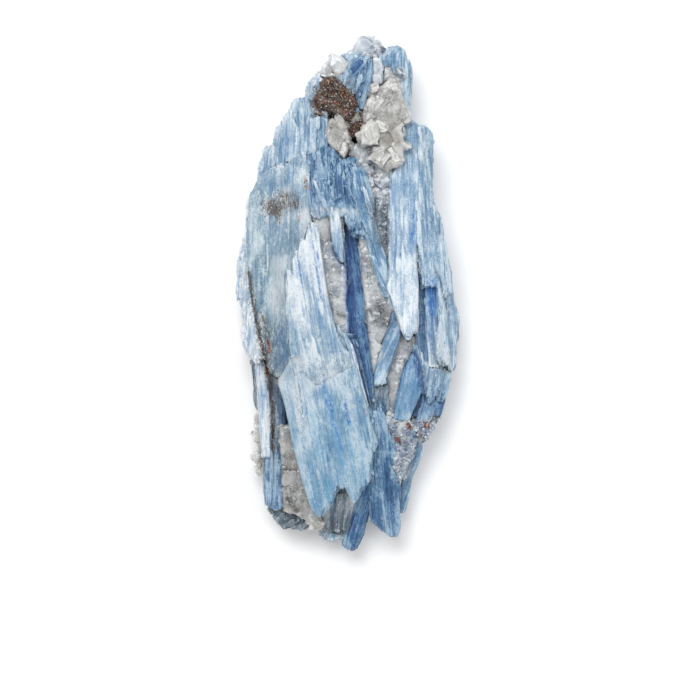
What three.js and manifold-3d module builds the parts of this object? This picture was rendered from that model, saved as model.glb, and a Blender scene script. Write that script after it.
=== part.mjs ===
// A natural kyanite blade cluster: flat blue kyanite blades grown side by side with quartz,
// grey mica and a garnet crust. Millimetres, +Z up.
// +Y points to the narrow head of the cluster, and the origin is the middle of its footprint
// on the surface it lies on.
import * as THREE from "three";
import { mergeVertices } from "three/addons/utils/BufferGeometryUtils.js";
import Module from "manifold-3d";

const wasm = await Module();
wasm.setup();

const CRACK = 0.3; // open crack between two neighbouring crystals
const BED = 8.7; // height of the top of the back blades, on which the other crystals stand
const SHARP_EDGE = 0.2; // bevel along the edges of a kyanite blade
const WORN_EDGE = 0.4; // bevel along the edges of a quartz lump
const BEVEL_SHARE = 0.05; // share of a crystal's height that each bevel takes up

// Finishes, shared by the crystals that look alike.
const stone = (color, roughness) =>
  new THREE.MeshStandardMaterial({ color, roughness, metalness: 0 });
const FINISH = {
  sky: stone(0x9dbbd6, 0.45),
  pale: stone(0xc3d2e4, 0.5),
  steel: stone(0x6f93b8, 0.45),
  deep: stone(0x2f5a96, 0.35),
  slate: stone(0x5f6f80, 0.55),
  quartz: stone(0xcfcac2, 0.3),
  mica: stone(0x8d8f92, 0.5),
  garnet: stone(0x5a3a2a, 0.6),
};

// Each crystal is an outline seen from above and two faces. The upper face is the plane
// top + rise * y + bank * x. The under face is level at `under`, or lies `thick` below the
// upper face. A crystal is cut back by every crystal that is listed before it.
const CRYSTALS = [
  {
    name: "front_white_sheet",
    finish: "pale",
    top: 22.9,
    rise: 0.072,
    thick: 1.6,
    outline: [
      [-14.8, 6.4], [-13.7, 6], [-13.1, 11], [-12.1, 10.4], [-11.4, 14.2], [-10.4, 13.9],
      [-9.7, 17.4], [-8.6, 18], [-7.6, 15], [-6.6, 8], [-5.4, 0], [-4.2, -6], [-2.6, -11],
      [-0.6, -13], [0.6, -18], [-4, -20.2], [-8, -22.4], [-11.6, -18.8], [-13.3, -20],
      [-14.2, -12], [-14.7, -2],
    ],
  },
  {
    name: "front_broad_blade",
    finish: "sky",
    top: 21.8,
    rise: 0.035,
    thick: 5.5,
    outline: [
      [-14, 5], [-7.4, 13], [-5.6, 0], [-3.4, -9], [0.2, -12.6], [1.4, -18], [3, -24],
      [4.3, -29], [6.2, -34.4], [6.9, -37.4], [5.5, -40.2], [5.4, -45.4], [4, -47.6],
      [1.3, -51.7], [-0.2, -48.3], [-3.1, -48.9], [-5.2, -53.4], [-6.8, -55.2],
      [-8.6, -53.4], [-10.6, -47], [-13, -38], [-15, -28.4], [-16.9, -21.2], [-13.4, -15],
    ],
  },
  {
    name: "front_edge_lath",
    finish: "steel",
    top: 20.8,
    rise: 0.05,
    thick: 6,
    outline: [
      [-0.9, -10.6], [1.2, -11], [2.2, -15.4], [3.5, -20.6], [4.8, -27], [5.6, -31.6],
      [4.2, -32.4], [2.4, -26], [0.8, -19],
    ],
  },
  {
    name: "right_white_blade",
    finish: "pale",
    top: 21.8,
    rise: -0.09,
    bank: -0.05,
    thick: 8,
    outline: [
      [10.5, 30.4], [12.8, 32.6], [12.9, 37], [12.6, 41], [14.4, 42.3], [15.9, 42.7],
      [16.9, 41.4], [17, 30], [16.5, 19], [16.2, 8], [16.6, 2], [16.4, -4], [16.2, -10],
      [15.2, -10.2], [14.3, -11.8], [13, -9.4], [11.9, -6.6], [10.3, -2], [9.5, 1],
      [10, 6], [9.7, 14], [10, 23],
    ],
  },
  {
    name: "diagonal_lath",
    finish: "steel",
    top: 19.4,
    rise: 0.05,
    under: 11,
    outline: [
      [0.8, 31.2], [3.1, 31], [4.5, 26], [5.3, 20], [6.6, 14], [8.6, 8], [9.2, 3],
      [10.4, -1.4], [9.2, -0.8], [7.6, 3], [6, 8], [4, 14], [2.4, 20], [1.3, 25],
    ],
  },
  {
    name: "quartz_head_knob",
    finish: "quartz",
    top: 23.4,
    under: 17,
    outline: [[3, 36], [3, 39.4], [4.4, 41.6], [6.4, 41.2], [7.3, 39], [7.2, 35.9]],
  },
  {
    name: "quartz_head_lump",
    finish: "quartz",
    top: 22.6,
    bank: -0.12,
    under: BED,
    outline: [
      [5.7, 50.4], [8, 50.6], [10, 52.6], [12.3, 51.6], [12.7, 48.2], [14.8, 43.4],
      [14.6, 41.6], [13, 40.6], [13.4, 36], [13.2, 31.4], [11.2, 30.6], [8.8, 30.2],
      [6.4, 31.8],
      [5.4, 34.8], [6, 38], [4, 41.4], [3.6, 44.6], [4.8, 47.4],
    ],
  },
  {
    name: "quartz_neck_lump",
    finish: "quartz",
    top: 21,
    under: BED,
    outline: [
      [-4.6, 42.2], [-2.4, 43], [-0.5, 41.2], [0.4, 38], [0.2, 35.4], [-1.2, 32.8],
      [-3.4, 34.8], [-5, 36.8], [-5.6, 39.4],
    ],
  },
  {
    name: "garnet_crust",
    finish: "garnet",
    top: 19,
    under: 12,
    outline: [
      [-6.2, 51.8], [-3.8, 52.6], [-2, 51], [0, 48.6], [1.4, 45.8], [1.2, 43.8],
      [3.4, 43.4], [2.8, 41.2], [2.2, 39.2], [1, 38.4], [-0.4, 41], [-1.9, 43.4],
      [-4.7, 44.6], [-7.4, 45.9], [-7.8, 47.7], [-6.6, 50],
    ],
  },
  {
    name: "head_blue_lath",
    finish: "steel",
    top: 19,
    under: 11,
    outline: [
      [4.5, 57.2], [5.8, 57.5], [5.9, 53], [5.2, 50], [4.2, 47], [3.2, 44.4],
      [2.4, 45.4], [3.8, 50], [4.3, 54],
    ],
  },
  {
    name: "quartz_head_slab",
    finish: "quartz",
    top: 20.4,
    under: 9,
    outline: [[6.2, 57.4], [7.4, 57], [8.3, 55], [8.1, 50.9], [6.1, 50.6], [5.8, 53.4]],
  },
  {
    name: "quartz_head_grey",
    finish: "quartz",
    top: 18.5,
    under: BED,
    outline: [[8, 55.4], [10.4, 55.4], [10.9, 53.4], [12.4, 52], [11, 48], [8, 48]],
  },
  {
    name: "quartz_peak",
    finish: "quartz",
    top: 16,
    under: 6.5,
    outline: [
      [2.8, 63], [5, 63.2], [6.7, 61.7], [8, 58.4], [7.4, 56.9], [5.6, 57.6],
      [1.1, 58.2], [1.6, 61],
    ],
  },
  {
    name: "quartz_head_left",
    finish: "quartz",
    top: 18.2,
    under: 6.5,
    outline: [
      [-4.2, 58.6], [-2.4, 57.8], [-1, 57.6], [0.2, 56], [-1.4, 53.6], [-4, 52.4],
      [-6.8, 53.4], [-6.6, 55.4], [-5, 56.2],
    ],
  },
  {
    name: "head_blue_blade",
    finish: "deep",
    top: 17.4,
    under: 6,
    outline: [
      [-0.9, 58.4], [1.4, 58.8], [5, 57.8], [6, 56], [5.6, 51], [4.8, 47.4], [3.4, 43.6],
      [1.6, 44.6], [0, 49], [-2.4, 51], [-3, 53], [0.2, 56.2],
    ],
  },
  {
    name: "head_right_blade",
    finish: "steel",
    top: 22.4,
    bank: -0.5,
    under: 6,
    outline: [
      [8, 58.4], [9.4, 59.3], [10.5, 61.3], [11.7, 61], [13, 60.5], [13.4, 58.2],
      [14.3, 57.9], [14.8, 56], [14.8, 50], [14.2, 45.4], [13.4, 45.4], [12.3, 48.4],
      [12.3, 51.6], [10.7, 53.4], [9.8, 55.5], [8.2, 55.6],
    ],
  },
  {
    name: "head_shoulder",
    finish: "mica",
    top: 20.3,
    bank: 0.5,
    under: 5.5,
    outline: [
      [-9.8, 50.6], [-8.6, 52.8], [-7.2, 54.6], [-5, 54], [-4.8, 47], [-5.4, 44],
      [-8.8, 43.8], [-9.7, 46],
    ],
  },
  {
    name: "centre_white_lath",
    finish: "pale",
    top: 20.6,
    under: 12,
    outline: [
      [-4.6, 19.8], [-2.6, 20.2], [-2.1, 17.6], [-1.5, 12], [-1.3, 7], [-2.1, 7.4],
      [-3.2, 9.6], [-3.9, 12], [-4.3, 15],
    ],
  },
  {
    name: "upper_blue_blade",
    finish: "steel",
    top: 19.6,
    rise: 0.03,
    under: BED,
    outline: [
      [-9.4, 34], [-6, 36.4], [-3.6, 35.8], [-1.4, 33], [0.8, 33.6], [2, 27], [3, 19],
      [3.4, 14.6], [1.6, 14.8], [0, 18], [-1, 19.6], [-5, 19.8], [-8.2, 19], [-9.6, 22],
    ],
  },
  {
    name: "upper_inner_laths",
    finish: "steel",
    top: 19,
    bank: 0.06,
    under: BED,
    outline: [
      [-12.8, 48], [-10.2, 48.5], [-9.7, 45.6], [-9, 43.4], [-5.4, 43.6], [-5.2, 41],
      [-4.6, 33], [-6, 27], [-9.8, 27], [-10.2, 34], [-11.6, 35], [-11.8, 40],
      [-13.5, 44.6], [-13.4, 46.6],
    ],
  },
  {
    name: "upper_middle_laths",
    finish: "sky",
    top: 21.4,
    bank: 0.28,
    under: 7,
    outline: [
      [-15.2, 43.6], [-13.4, 46.4], [-11.4, 44], [-11.2, 33], [-13, 31], [-15.4, 33],
      [-15.8, 40],
    ],
  },
  {
    name: "upper_outer_laths",
    finish: "steel",
    top: 25.6,
    bank: 0.6,
    under: 5.5,
    outline: [[-17, 41.4], [-15.5, 42.2], [-14, 36], [-14.8, 31], [-17.4, 30.4], [-18, 37]],
  },
  {
    name: "upper_edge_laths",
    finish: "pale",
    top: 29.5,
    bank: 0.85,
    under: 5,
    outline: [
      [-19.6, 36.6], [-18, 37.6], [-16.4, 33], [-17, 29], [-21.6, 28], [-21.2, 32],
      [-20.2, 34.8],
    ],
  },
  {
    name: "grey_seam",
    finish: "mica",
    top: 18,
    under: BED,
    outline: [
      [0.2, 35.8], [3, 36.2], [5.4, 36.8], [13.8, 36.8], [14, 30], [10.6, 27], [10.2, 18],
      [9.8, 11.6], [9.9, 4], [8.8, 4], [7.4, 12], [6, 17], [4.6, 24], [3, 30.4],
      [0.4, 32.8],
    ],
  },
  {
    name: "left_broad_blade",
    finish: "sky",
    top: 23.6,
    bank: 0.29,
    under: BED,
    outline: [
      [-21.4, 29.4], [-16.6, 32.2], [-15.3, 31.4], [-12.2, 34.8], [-10.9, 35], [-9.9, 33],
      [-9.6, 23], [-9.9, 19.6], [-9.2, 17.8], [-11, 13.6], [-11, 4], [-11.6, -12],
      [-12.4, -15.6], [-15, -19.6], [-17, -21], [-19.2, -19.4], [-20.6, -14],
      [-22.3, -8], [-23.5, -2], [-24.3, 5], [-24.8, 13], [-24, 24.4], [-22.7, 27],
    ],
  },
  {
    name: "left_flank_blade",
    finish: "pale",
    top: 44,
    bank: 1.2,
    under: 4.5,
    outline: [
      [-24.2, 24], [-25, 14], [-26, 10], [-26.7, 4], [-26.5, -1], [-25.4, -4],
      [-25.6, -8], [-25.2, -12.4], [-23.8, -15], [-22.4, -16], [-20.6, -15],
      [-22, -8.6], [-23.1, -3], [-23.9, 4], [-24.3, 13], [-23.4, 24],
    ],
  },
  {
    name: "left_pale_lath",
    finish: "pale",
    top: 15.8,
    rise: 0.05,
    under: 5.5,
    outline: [
      [-22.7, -14.4], [-21, -15], [-20.2, -20], [-19.8, -28], [-19.5, -40.4],
      [-20.7, -40.2], [-21.3, -32], [-21.8, -24], [-22.3, -18],
    ],
  },
  {
    name: "left_slate_lath",
    finish: "slate",
    top: 9.8,
    under: 3.6,
    outline: [[-23.5, -15.2], [-22.2, -15.4], [-21.2, -28.6], [-22.4, -28.4], [-23, -21]],
  },
  {
    name: "quartz_left_lump",
    finish: "quartz",
    top: 25.7,
    bank: 0.75,
    under: 3.6,
    outline: [
      [-23.3, -30], [-22, -28.9], [-20.7, -29.4], [-20.3, -38], [-20.4, -45.4],
      [-21.3, -45], [-21.9, -40], [-22.8, -36],
    ],
  },
  {
    name: "lower_left_blade",
    finish: "deep",
    top: 15.5,
    rise: 0.04,
    under: 4,
    outline: [
      [-20, -19], [-16.4, -21], [-15.8, -28], [-16, -36], [-16.5, -45], [-16.2, -52.2],
      [-18, -53.4], [-19.9, -52], [-20.3, -44], [-20.1, -36],
    ],
  },
  {
    name: "lower_left_foot",
    finish: "slate",
    top: 9.4,
    under: 2.4,
    outline: [
      [-19.8, -52.2], [-16.4, -53], [-13.4, -53.6], [-10, -55], [-9.4, -56.4],
      [-12.4, -57.3], [-17, -56.9], [-18.8, -54.6],
    ],
  },
  {
    name: "quartz_lower_left",
    finish: "quartz",
    top: 19.5,
    rise: 0.1,
    under: 4.5,
    outline: [
      [-17, -32], [-13.4, -32], [-11, -42], [-9.2, -49], [-7.6, -54], [-6.4, -55.6],
      [-6.8, -57.4], [-9.2, -57.6], [-10.6, -55.4], [-13.2, -54], [-16, -53], [-16.6, -45],
    ],
  },
  {
    name: "bottom_spike_blade",
    finish: "deep",
    top: 30.4,
    rise: 0.34,
    thick: 5,
    outline: [
      [3.4, -46], [5.4, -46.4], [5.2, -50], [4.2, -55], [3.2, -59.4], [1.8, -62.4],
      [0.3, -63.3], [-1.1, -62.6], [-0.7, -58], [0.2, -54], [1.2, -50.4],
    ],
  },
  {
    name: "bottom_grey_blade",
    finish: "slate",
    top: 28,
    rise: 0.27,
    thick: 5,
    outline: [
      [-6, -51], [-2.8, -46.8], [0.4, -46.8], [1.4, -50], [0.6, -54], [-0.5, -58.6],
      [-2.6, -59], [-4.4, -58.4], [-6.4, -56],
    ],
  },
  {
    name: "bottom_knot",
    finish: "deep",
    top: 8.8,
    under: 3.8,
    outline: [[-6.6, -56.4], [-2.4, -56.6], [-1.4, -59.2], [-3.2, -60.9], [-5.2, -61], [-6.6, -59.6]],
  },
  {
    name: "lower_right_blade",
    finish: "steel",
    top: 25,
    rise: 0.22,
    bank: -0.1,
    thick: 5.5,
    outline: [
      [6.2, -29.4], [8.6, -30.4], [9.6, -34], [11.6, -40], [12.3, -46], [12.2, -52], [12.5, -58],
      [11.8, -60], [10.6, -60.1], [8, -58.2], [5.8, -56], [5, -52], [4.8, -46],
      [5, -38],
    ],
  },
  {
    name: "pointed_blue_blade",
    finish: "deep",
    top: 22.2,
    rise: 0.21,
    under: BED,
    outline: [
      [15.6, -14], [16.8, -16.4], [17.6, -19], [17.9, -23.4], [16.2, -27], [14.8, -30.6],
      [10.8, -30.4], [11.4, -27], [12.2, -24], [12.9, -20], [13.9, -17.4],
    ],
  },
  {
    name: "quartz_lower_right",
    finish: "quartz",
    top: 19.6,
    bank: -0.34,
    under: 7,
    outline: [
      [8.2, -29.8], [11, -29.4], [14.8, -29.6], [17.6, -31], [21.9, -29.8], [20.8, -33],
      [19, -35.6], [16.6, -36.2], [15.4, -39.4], [13.4, -43.4], [12.5, -46.6],
      [11.3, -43], [10.4, -38], [8.8, -34.4],
    ],
  },
  {
    name: "right_hem_lath",
    finish: "deep",
    top: 15.4,
    rise: 0.15,
    thick: 4.6,
    outline: [
      [16.2, -35.2], [17.9, -35.6], [18, -39], [16.8, -42.2], [15.4, -45.2], [14.8, -49],
      [14.1, -52.8], [13.1, -54.5], [12.3, -53], [12.8, -48], [13.2, -44.4],
      [15.2, -39.6],
    ],
  },
  {
    name: "slanted_lath",
    finish: "sky",
    top: 18.8,
    under: 10,
    outline: [
      [11.5, -3.6], [12.6, -6], [12.4, -10], [10.9, -14.4], [10.3, -16.4], [8.7, -20],
      [9.2, -22], [7.6, -22.3], [6.1, -22.7], [6.2, -20], [7.2, -16], [8.3, -12],
      [9.5, -8.4], [10.3, -4.8],
    ],
  },
  {
    name: "right_deep_blue_lath",
    finish: "deep",
    top: 25.4,
    bank: -0.5,
    under: 6.5,
    outline: [
      [18.4, 4.4], [21.4, 4], [21.9, -1], [22.7, -4], [22.2, -8], [21.2, -12],
      [21.6, -18], [19.8, -18.6], [19.3, -12], [18.9, -5],
    ],
  },
  {
    name: "right_slate_lath",
    finish: "slate",
    top: 14.6,
    under: 7,
    outline: [
      [16.4, 9], [17.6, 9], [18.2, 4], [18.6, -5], [19.1, -12], [19.5, -18.6],
      [17.4, -20], [16.2, -14], [16, -4],
    ],
  },
  {
    name: "right_back_blade",
    finish: "sky",
    top: 27.6,
    rise: -0.03,
    bank: -0.48,
    under: 7,
    outline: [
      [16.8, 41.8], [18.1, 41.3], [19.3, 40.4], [19.9, 38.4], [19.8, 26], [20.3, 22.4],
      [21.7, 19.6], [22.6, 15], [23.4, 10], [24.4, 5], [24.8, 1], [22.2, -2.4],
      [21.4, 2], [18, 2], [16.6, 8], [16.4, 20], [16.7, 30],
    ],
  },
  {
    name: "right_outer_blade",
    finish: "pale",
    top: 45,
    bank: -1.28,
    under: 5,
    outline: [
      [22, -1.4], [23.8, 2], [24.9, 2], [25.3, -2], [26, -4.4], [26.8, -7], [26.4, -10.4],
      [26, -15], [25.5, -19.7], [23.8, -19], [21.6, -18.4], [21.2, -12], [22, -8],
      [22.6, -4],
    ],
  },
  {
    name: "right_lower_blade",
    finish: "steel",
    top: 25,
    bank: -0.52,
    under: 5.5,
    outline: [
      [17, -16], [19.4, -17.6], [24.8, -19.2], [24, -22], [23.4, -24.8], [22.2, -26.8],
      [20.8, -25.8], [19.8, -27.2], [17.9, -24], [17.2, -20],
    ],
  },
  {
    name: "right_foot_blade",
    finish: "deep",
    top: 23,
    bank: -0.52,
    under: 5.5,
    outline: [
      [18.2, -22.6], [23.2, -22.6], [23.3, -26.4], [22.6, -29], [21.2, -31.6], [16.2, -31.4],
      [17.6, -27],
    ],
  },
  {
    name: "shaded_blade",
    finish: "deep",
    top: 13,
    under: 5.5,
    outline: [[17, -20], [18.4, -24], [18.2, -31], [14.8, -31], [14.6, -26]],
  },
  {
    name: "steel_lath",
    finish: "steel",
    top: 16,
    under: BED,
    outline: [[6, -22], [9.4, -22], [9.1, -27], [8.4, -30.4], [6.6, -30.6], [6, -27]],
  },
  {
    name: "quartz_centre_left",
    finish: "quartz",
    top: 19,
    under: BED,
    outline: [
      [-8.2, 21.6], [-1.3, 21.6], [-1.3, 17], [-1.1, 10], [-0.7, 5.4], [-0.3, 1],
      [-1, -1.4], [-0.2, -5], [0, -10.4], [-2.2, -11.8], [-4, -6], [-6, 1], [-8, 9],
      [-8.8, 15],
    ],
  },
  {
    name: "central_deep_blue_blade",
    finish: "deep",
    top: 15.4,
    rise: -0.03,
    under: BED,
    outline: [
      [-1.2, 17.6], [0.2, 19], [2.6, 14.6], [2.9, 8], [3.4, 3], [3.9, -2], [4.7, -8],
      [5.3, -13], [5.9, -18], [6.2, -30], [7, -34], [6.4, -36], [4, -31], [2, -20],
      [0.2, -11], [-0.4, -5], [-1.1, -1], [-0.2, 2], [-0.8, 7],
    ],
  },
  {
    name: "quartz_centre_right",
    finish: "quartz",
    top: 17.8,
    bank: 0.08,
    under: BED,
    outline: [
      [2.5, 15.2], [4.4, 14.6], [5.8, 10], [8, 4], [9.6, -0.6], [11, -4.4], [10.4, -9],
      [9.2, -13], [7.6, -17.4], [6.2, -21.4], [5.6, -16], [4.8, -9], [3.9, -2],
      [3.2, 4], [2.7, 11],
    ],
  },
  {
    name: "quartz_pocket",
    finish: "quartz",
    top: 15,
    under: 7,
    outline: [
      [9.4, -15], [12.4, -9], [16, -10.6], [16.6, -14], [14.6, -18], [12.6, -24],
      [11.6, -30], [8.4, -30.4], [8.9, -22],
    ],
  },
  {
    name: "inner_blade",
    finish: "steel",
    top: 20.6,
    under: BED,
    outline: [
      [-12.5, 12], [-9.5, 14], [-6, 8], [-4.6, -4], [-3, -12], [0.5, -14], [1, -20],
      [3, -28], [5, -36], [4.5, -46], [-1, -47], [-5.5, -50], [-8.5, -48], [-12, -36],
      [-14, -26], [-13.6, -21], [-12.6, -16], [-11.6, -6], [-10.8, 4],
    ],
  },
  {
    name: "back_blade_centre",
    finish: "steel",
    top: 8.4,
    under: 0,
    outline: [
      [-8.6, 42], [-5.4, 49], [0, 53.4], [5, 52], [7.2, 44], [6.4, 20], [6.8, -20],
      [8.4, -38], [6, -49], [0, -52.6], [-6, -50], [-7.4, -20], [-7.8, 20],
    ],
  },
  {
    name: "back_blade_left",
    finish: "sky",
    top: 8.4,
    under: 0,
    outline: [
      [-13.6, 40], [-9.2, 41], [-8.2, 20], [-7.8, -20], [-6.6, -50], [-13, -53],
      [-17, -50], [-19.4, -38], [-21, -14], [-22.4, 2], [-21.4, 18], [-17.4, 33],
    ],
  },
  {
    name: "back_blade_right",
    finish: "steel",
    top: 8.4,
    under: 0.8,
    outline: [
      [7.8, 50], [12.4, 48], [17.6, 38], [18.6, 20], [21.6, 8], [23, -6], [21, -22],
      [16.4, -33], [11, -46], [8.6, -42], [7.4, -20], [7, 20],
    ],
  },
];

// The height of a crystal's upper and under face above the point (x, y).
function faceHeights({ top, rise = 0, bank = 0, under, thick }, x, y) {
  const upper = top + rise * y + bank * x;
  return { upper, lower: thick === undefined ? under : upper - thick };
}

// A crystal's solid before its neighbours cut it: its outline extruded, then stretched
// between its under face and its upper face.
function growCrystal(crystal) {
  const edge = crystal.finish === "quartz" ? WORN_EDGE : SHARP_EDGE;
  return stretchOutline(crystal, 0, {
    bevelSegments: 1,
    bevelThickness: BEVEL_SHARE,
    bevelSize: edge,
    bevelOffset: -edge,
  });
}

// The room that a crystal takes up among its neighbours: a plain block that is larger than
// the crystal by a crack's width on every side.
function growRoom(crystal) {
  return stretchOutline(crystal, CRACK, {
    bevelSegments: 0,
    bevelThickness: 0,
    bevelSize: 0,
    bevelOffset: CRACK,
  });
}

function stretchOutline(crystal, margin, edges) {
  const shape = new THREE.Shape(crystal.outline.map(([x, y]) => new THREE.Vector2(x, y)));
  const depth = 1 - 2 * edges.bevelThickness;
  const geometry = new THREE.ExtrudeGeometry(shape, { depth, steps: 1, ...edges });
  const position = geometry.getAttribute("position");
  for (let i = 0; i < position.count; i++) {
    const share = position.getZ(i) + edges.bevelThickness;
    const { upper, lower } = faceHeights(crystal, position.getX(i), position.getY(i));
    position.setZ(i, lower - margin + share * (upper - lower + 2 * margin));
  }
  return toSolid(geometry);
}

function toSolid(geometry) {
  geometry.deleteAttribute("normal");
  geometry.deleteAttribute("uv");
  const merged = mergeVertices(geometry, 1e-3);
  return new wasm.Manifold(
    new wasm.Mesh({
      numProp: 3,
      vertProperties: new Float32Array(merged.attributes.position.array),
      triVerts: new Uint32Array(merged.index.array),
    }),
  );
}

function toGeometry(solid) {
  const mesh = solid.getMesh();
  const geometry = new THREE.BufferGeometry();
  geometry.setAttribute("position", new THREE.BufferAttribute(mesh.vertProperties, 3));
  geometry.setIndex(new THREE.BufferAttribute(mesh.triVerts, 1));
  geometry.computeVertexNormals();
  return geometry;
}

function boxesMeet(a, b) {
  const p = a.boundingBox();
  const q = b.boundingBox();
  return [0, 1, 2].every((i) => p.min[i] < q.max[i] && q.min[i] < p.max[i]);
}

// A cut can leave loose slivers beside the crystal, and only the crystal is kept.
function largestPiece(solid) {
  return solid.decompose().reduce((a, b) => (a.volume() > b.volume() ? a : b));
}

const cluster = new THREE.Group();
const rooms = [];
for (const crystal of CRYSTALS) {
  let solid = growCrystal(crystal);
  for (const room of rooms) {
    if (boxesMeet(solid, room)) solid = solid.subtract(room);
  }
  solid = largestPiece(solid);
  rooms.push(growRoom(crystal));
  const mesh = new THREE.Mesh(toGeometry(solid), FINISH[crystal.finish]);
  mesh.name = crystal.name;
  cluster.add(mesh);
}

export default cluster;
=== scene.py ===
import math

import bmesh
import bpy
import numpy as np
from mathutils import Matrix, Vector
from mathutils.bvhtree import BVHTree


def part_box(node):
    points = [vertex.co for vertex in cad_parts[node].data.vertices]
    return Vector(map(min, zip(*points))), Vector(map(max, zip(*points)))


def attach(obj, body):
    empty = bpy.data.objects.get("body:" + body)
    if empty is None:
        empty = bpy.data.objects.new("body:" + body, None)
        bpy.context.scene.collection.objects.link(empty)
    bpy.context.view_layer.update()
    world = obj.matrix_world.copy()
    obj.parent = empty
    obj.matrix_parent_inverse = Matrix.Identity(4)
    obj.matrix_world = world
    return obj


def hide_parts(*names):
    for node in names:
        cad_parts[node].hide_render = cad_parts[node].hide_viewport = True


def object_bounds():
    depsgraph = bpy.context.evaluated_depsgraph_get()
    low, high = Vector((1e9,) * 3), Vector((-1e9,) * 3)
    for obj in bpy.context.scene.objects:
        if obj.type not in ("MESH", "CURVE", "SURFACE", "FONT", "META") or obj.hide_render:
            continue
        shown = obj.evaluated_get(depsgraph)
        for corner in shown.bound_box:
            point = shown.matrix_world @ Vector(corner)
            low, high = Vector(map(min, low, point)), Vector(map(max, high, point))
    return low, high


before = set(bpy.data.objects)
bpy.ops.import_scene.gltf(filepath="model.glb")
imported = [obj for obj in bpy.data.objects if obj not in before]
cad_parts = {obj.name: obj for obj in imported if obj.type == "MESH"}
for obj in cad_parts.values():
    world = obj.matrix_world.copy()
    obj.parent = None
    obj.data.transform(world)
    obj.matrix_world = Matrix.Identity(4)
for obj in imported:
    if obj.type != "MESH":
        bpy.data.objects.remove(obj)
CAD_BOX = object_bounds()

MM = 0.001
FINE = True
VOXEL = 0.22 if FINE else 0.4  # mesh size across the grain, in millimetres
STRETCH = 3.0  # mesh size along the grain, in voxels
SPLINTER_VOXEL = 0.12 if FINE else 0.25
BACK_VOXEL = 0.3 if FINE else 0.5
OVERHANG = 1.2  # how far a skin may reach beyond the solids' outer box, in millimetres
CREASE = 35  # degrees between two faces above which their edge stays sharp
LATH_SLANT = 0.12  # how far a lath's ends slant, in widths of the lath

# ---------------------------------------------------------------- colours
# Palettes of display colours, 0 to 255: the deepest colour, which also shows the painted shade
# in the creases, the body colour, the palest, which also shows the painted highlight on raised
# edges, and the colour of the veins.
PALETTES = {
    "white": ((100, 142, 190), (178, 197, 212), (230, 236, 240), (58, 124, 198)),
    "frost": ((76, 120, 158), (144, 171, 190), (212, 222, 229), (40, 112, 180)),
    "sky": ((48, 98, 144), (118, 156, 186), (194, 213, 226), (26, 98, 168)),
    "cyan": ((44, 106, 150), (104, 150, 180), (164, 189, 204), (24, 120, 182)),
    "teal": ((56, 88, 108), (120, 147, 164), (190, 205, 211), (44, 106, 152)),
    "steel": ((20, 62, 108), (74, 118, 156), (158, 186, 208), (12, 74, 138)),
    "azure": ((14, 70, 126), (64, 122, 172), (150, 184, 210), (4, 84, 158)),
    "royal": ((6, 44, 96), (34, 84, 138), (106, 150, 186), (4, 54, 122)),
    "navy": ((12, 30, 54), (30, 62, 94), (90, 120, 150), (8, 42, 90)),
    "slate": ((28, 38, 50), (74, 92, 108), (158, 171, 180), (26, 70, 116)),
    "grey": ((64, 76, 88), (124, 136, 147), (198, 204, 207), (60, 100, 138)),
}
# Colours of the marks that are laid over the crystals.
MARK_COLOURS = {
    "pale": (206, 212, 214),
    "slate": (70, 90, 106),
    "steel": (64, 104, 146),
    "azure": (90, 158, 196),
    "royal": (8, 104, 180),
    "deep": (10, 58, 118),
    "brown": (84, 66, 50),
    "rust": (160, 84, 30),
    # The crack colour is painted shade: near-black lines along the crevices between crystals.
    "crack": (22, 20, 20),
}
MOST_MARKED = 0.88  # the strongest that a mark can cover what is under it
MOST_RUSTED = 0.4  # the same for rust

# Each sort of quartz and crust: its material's name, its clear and its cloudy colour, how far
# light travels in it, in millimetres, and how glossy its skin is.
QUARTZ_SORTS = {
    "milky": ("milky_quartz", (124, 124, 122), (212, 212, 210), 5.0, 0.45),
    "pearly": ("pearly_quartz", (160, 160, 156), (230, 230, 226), 5.0, 0.45),
    "icy": ("icy_quartz", (156, 163, 170), (228, 230, 232), 5.0, 0.3),
    "frosted": ("frosted_quartz", (136, 148, 166), (206, 212, 218), 5.0, 0.45),
    "grey": ("grey_quartz", (104, 118, 132), (214, 216, 216), 5.0, 0.45),
    "smoky": ("smoky_quartz", (112, 112, 110), (204, 204, 202), 5.0, 0.45),
    "rubble": ("rubble", (24, 66, 112), (206, 214, 216), 1.0, 0.2),
    "slate": ("slate_quartz", (72, 92, 112), (212, 218, 222), 5.0, 0.45),
    "crust": ("brown_crust", (14, 10, 8), (118, 102, 88), 0.4, 0.0),
}
SMOKE = 0.3  # how strongly warm smoky patches tint the quartz
SMOKE_COLOUR = (150, 140, 128)

# Each sort of grain: its material's name, its dark and its bright colour, and its roughness.
GRAIN_SORTS = {
    "garnet": ("orange_garnet", (74, 32, 18), (170, 96, 52), 0.2),
    "mica": ("brown_mica", (12, 10, 9), (96, 80, 70), 0.12),
    "crumb": ("white_crumbs", (150, 160, 170), (240, 240, 238), 0.2),
    "frost": ("frost_crumbs", (150, 178, 204), (238, 242, 245), 0.3),
}


# ---------------------------------------------------------------- crystals
class Blade:
    """How a kyanite blade looks and how it ends."""

    def __init__(self, head, foot, lean, ends=(1.2, 1.2), style="laths", contrast=1.0, soft=0.2):
        self.head = head  # palette at the head
        self.foot = foot  # palette at the foot
        self.lean = lean  # degrees that the grain leans from +Y
        # The length of the splinters at head and foot, in millimetres. It is less than zero
        # where the blade runs on into its neighbour.
        self.ends = ends
        self.style = style
        self.contrast = contrast  # how strongly its streaks stand out
        self.soft = soft  # from 0, streaked, to 1, mottled


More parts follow.
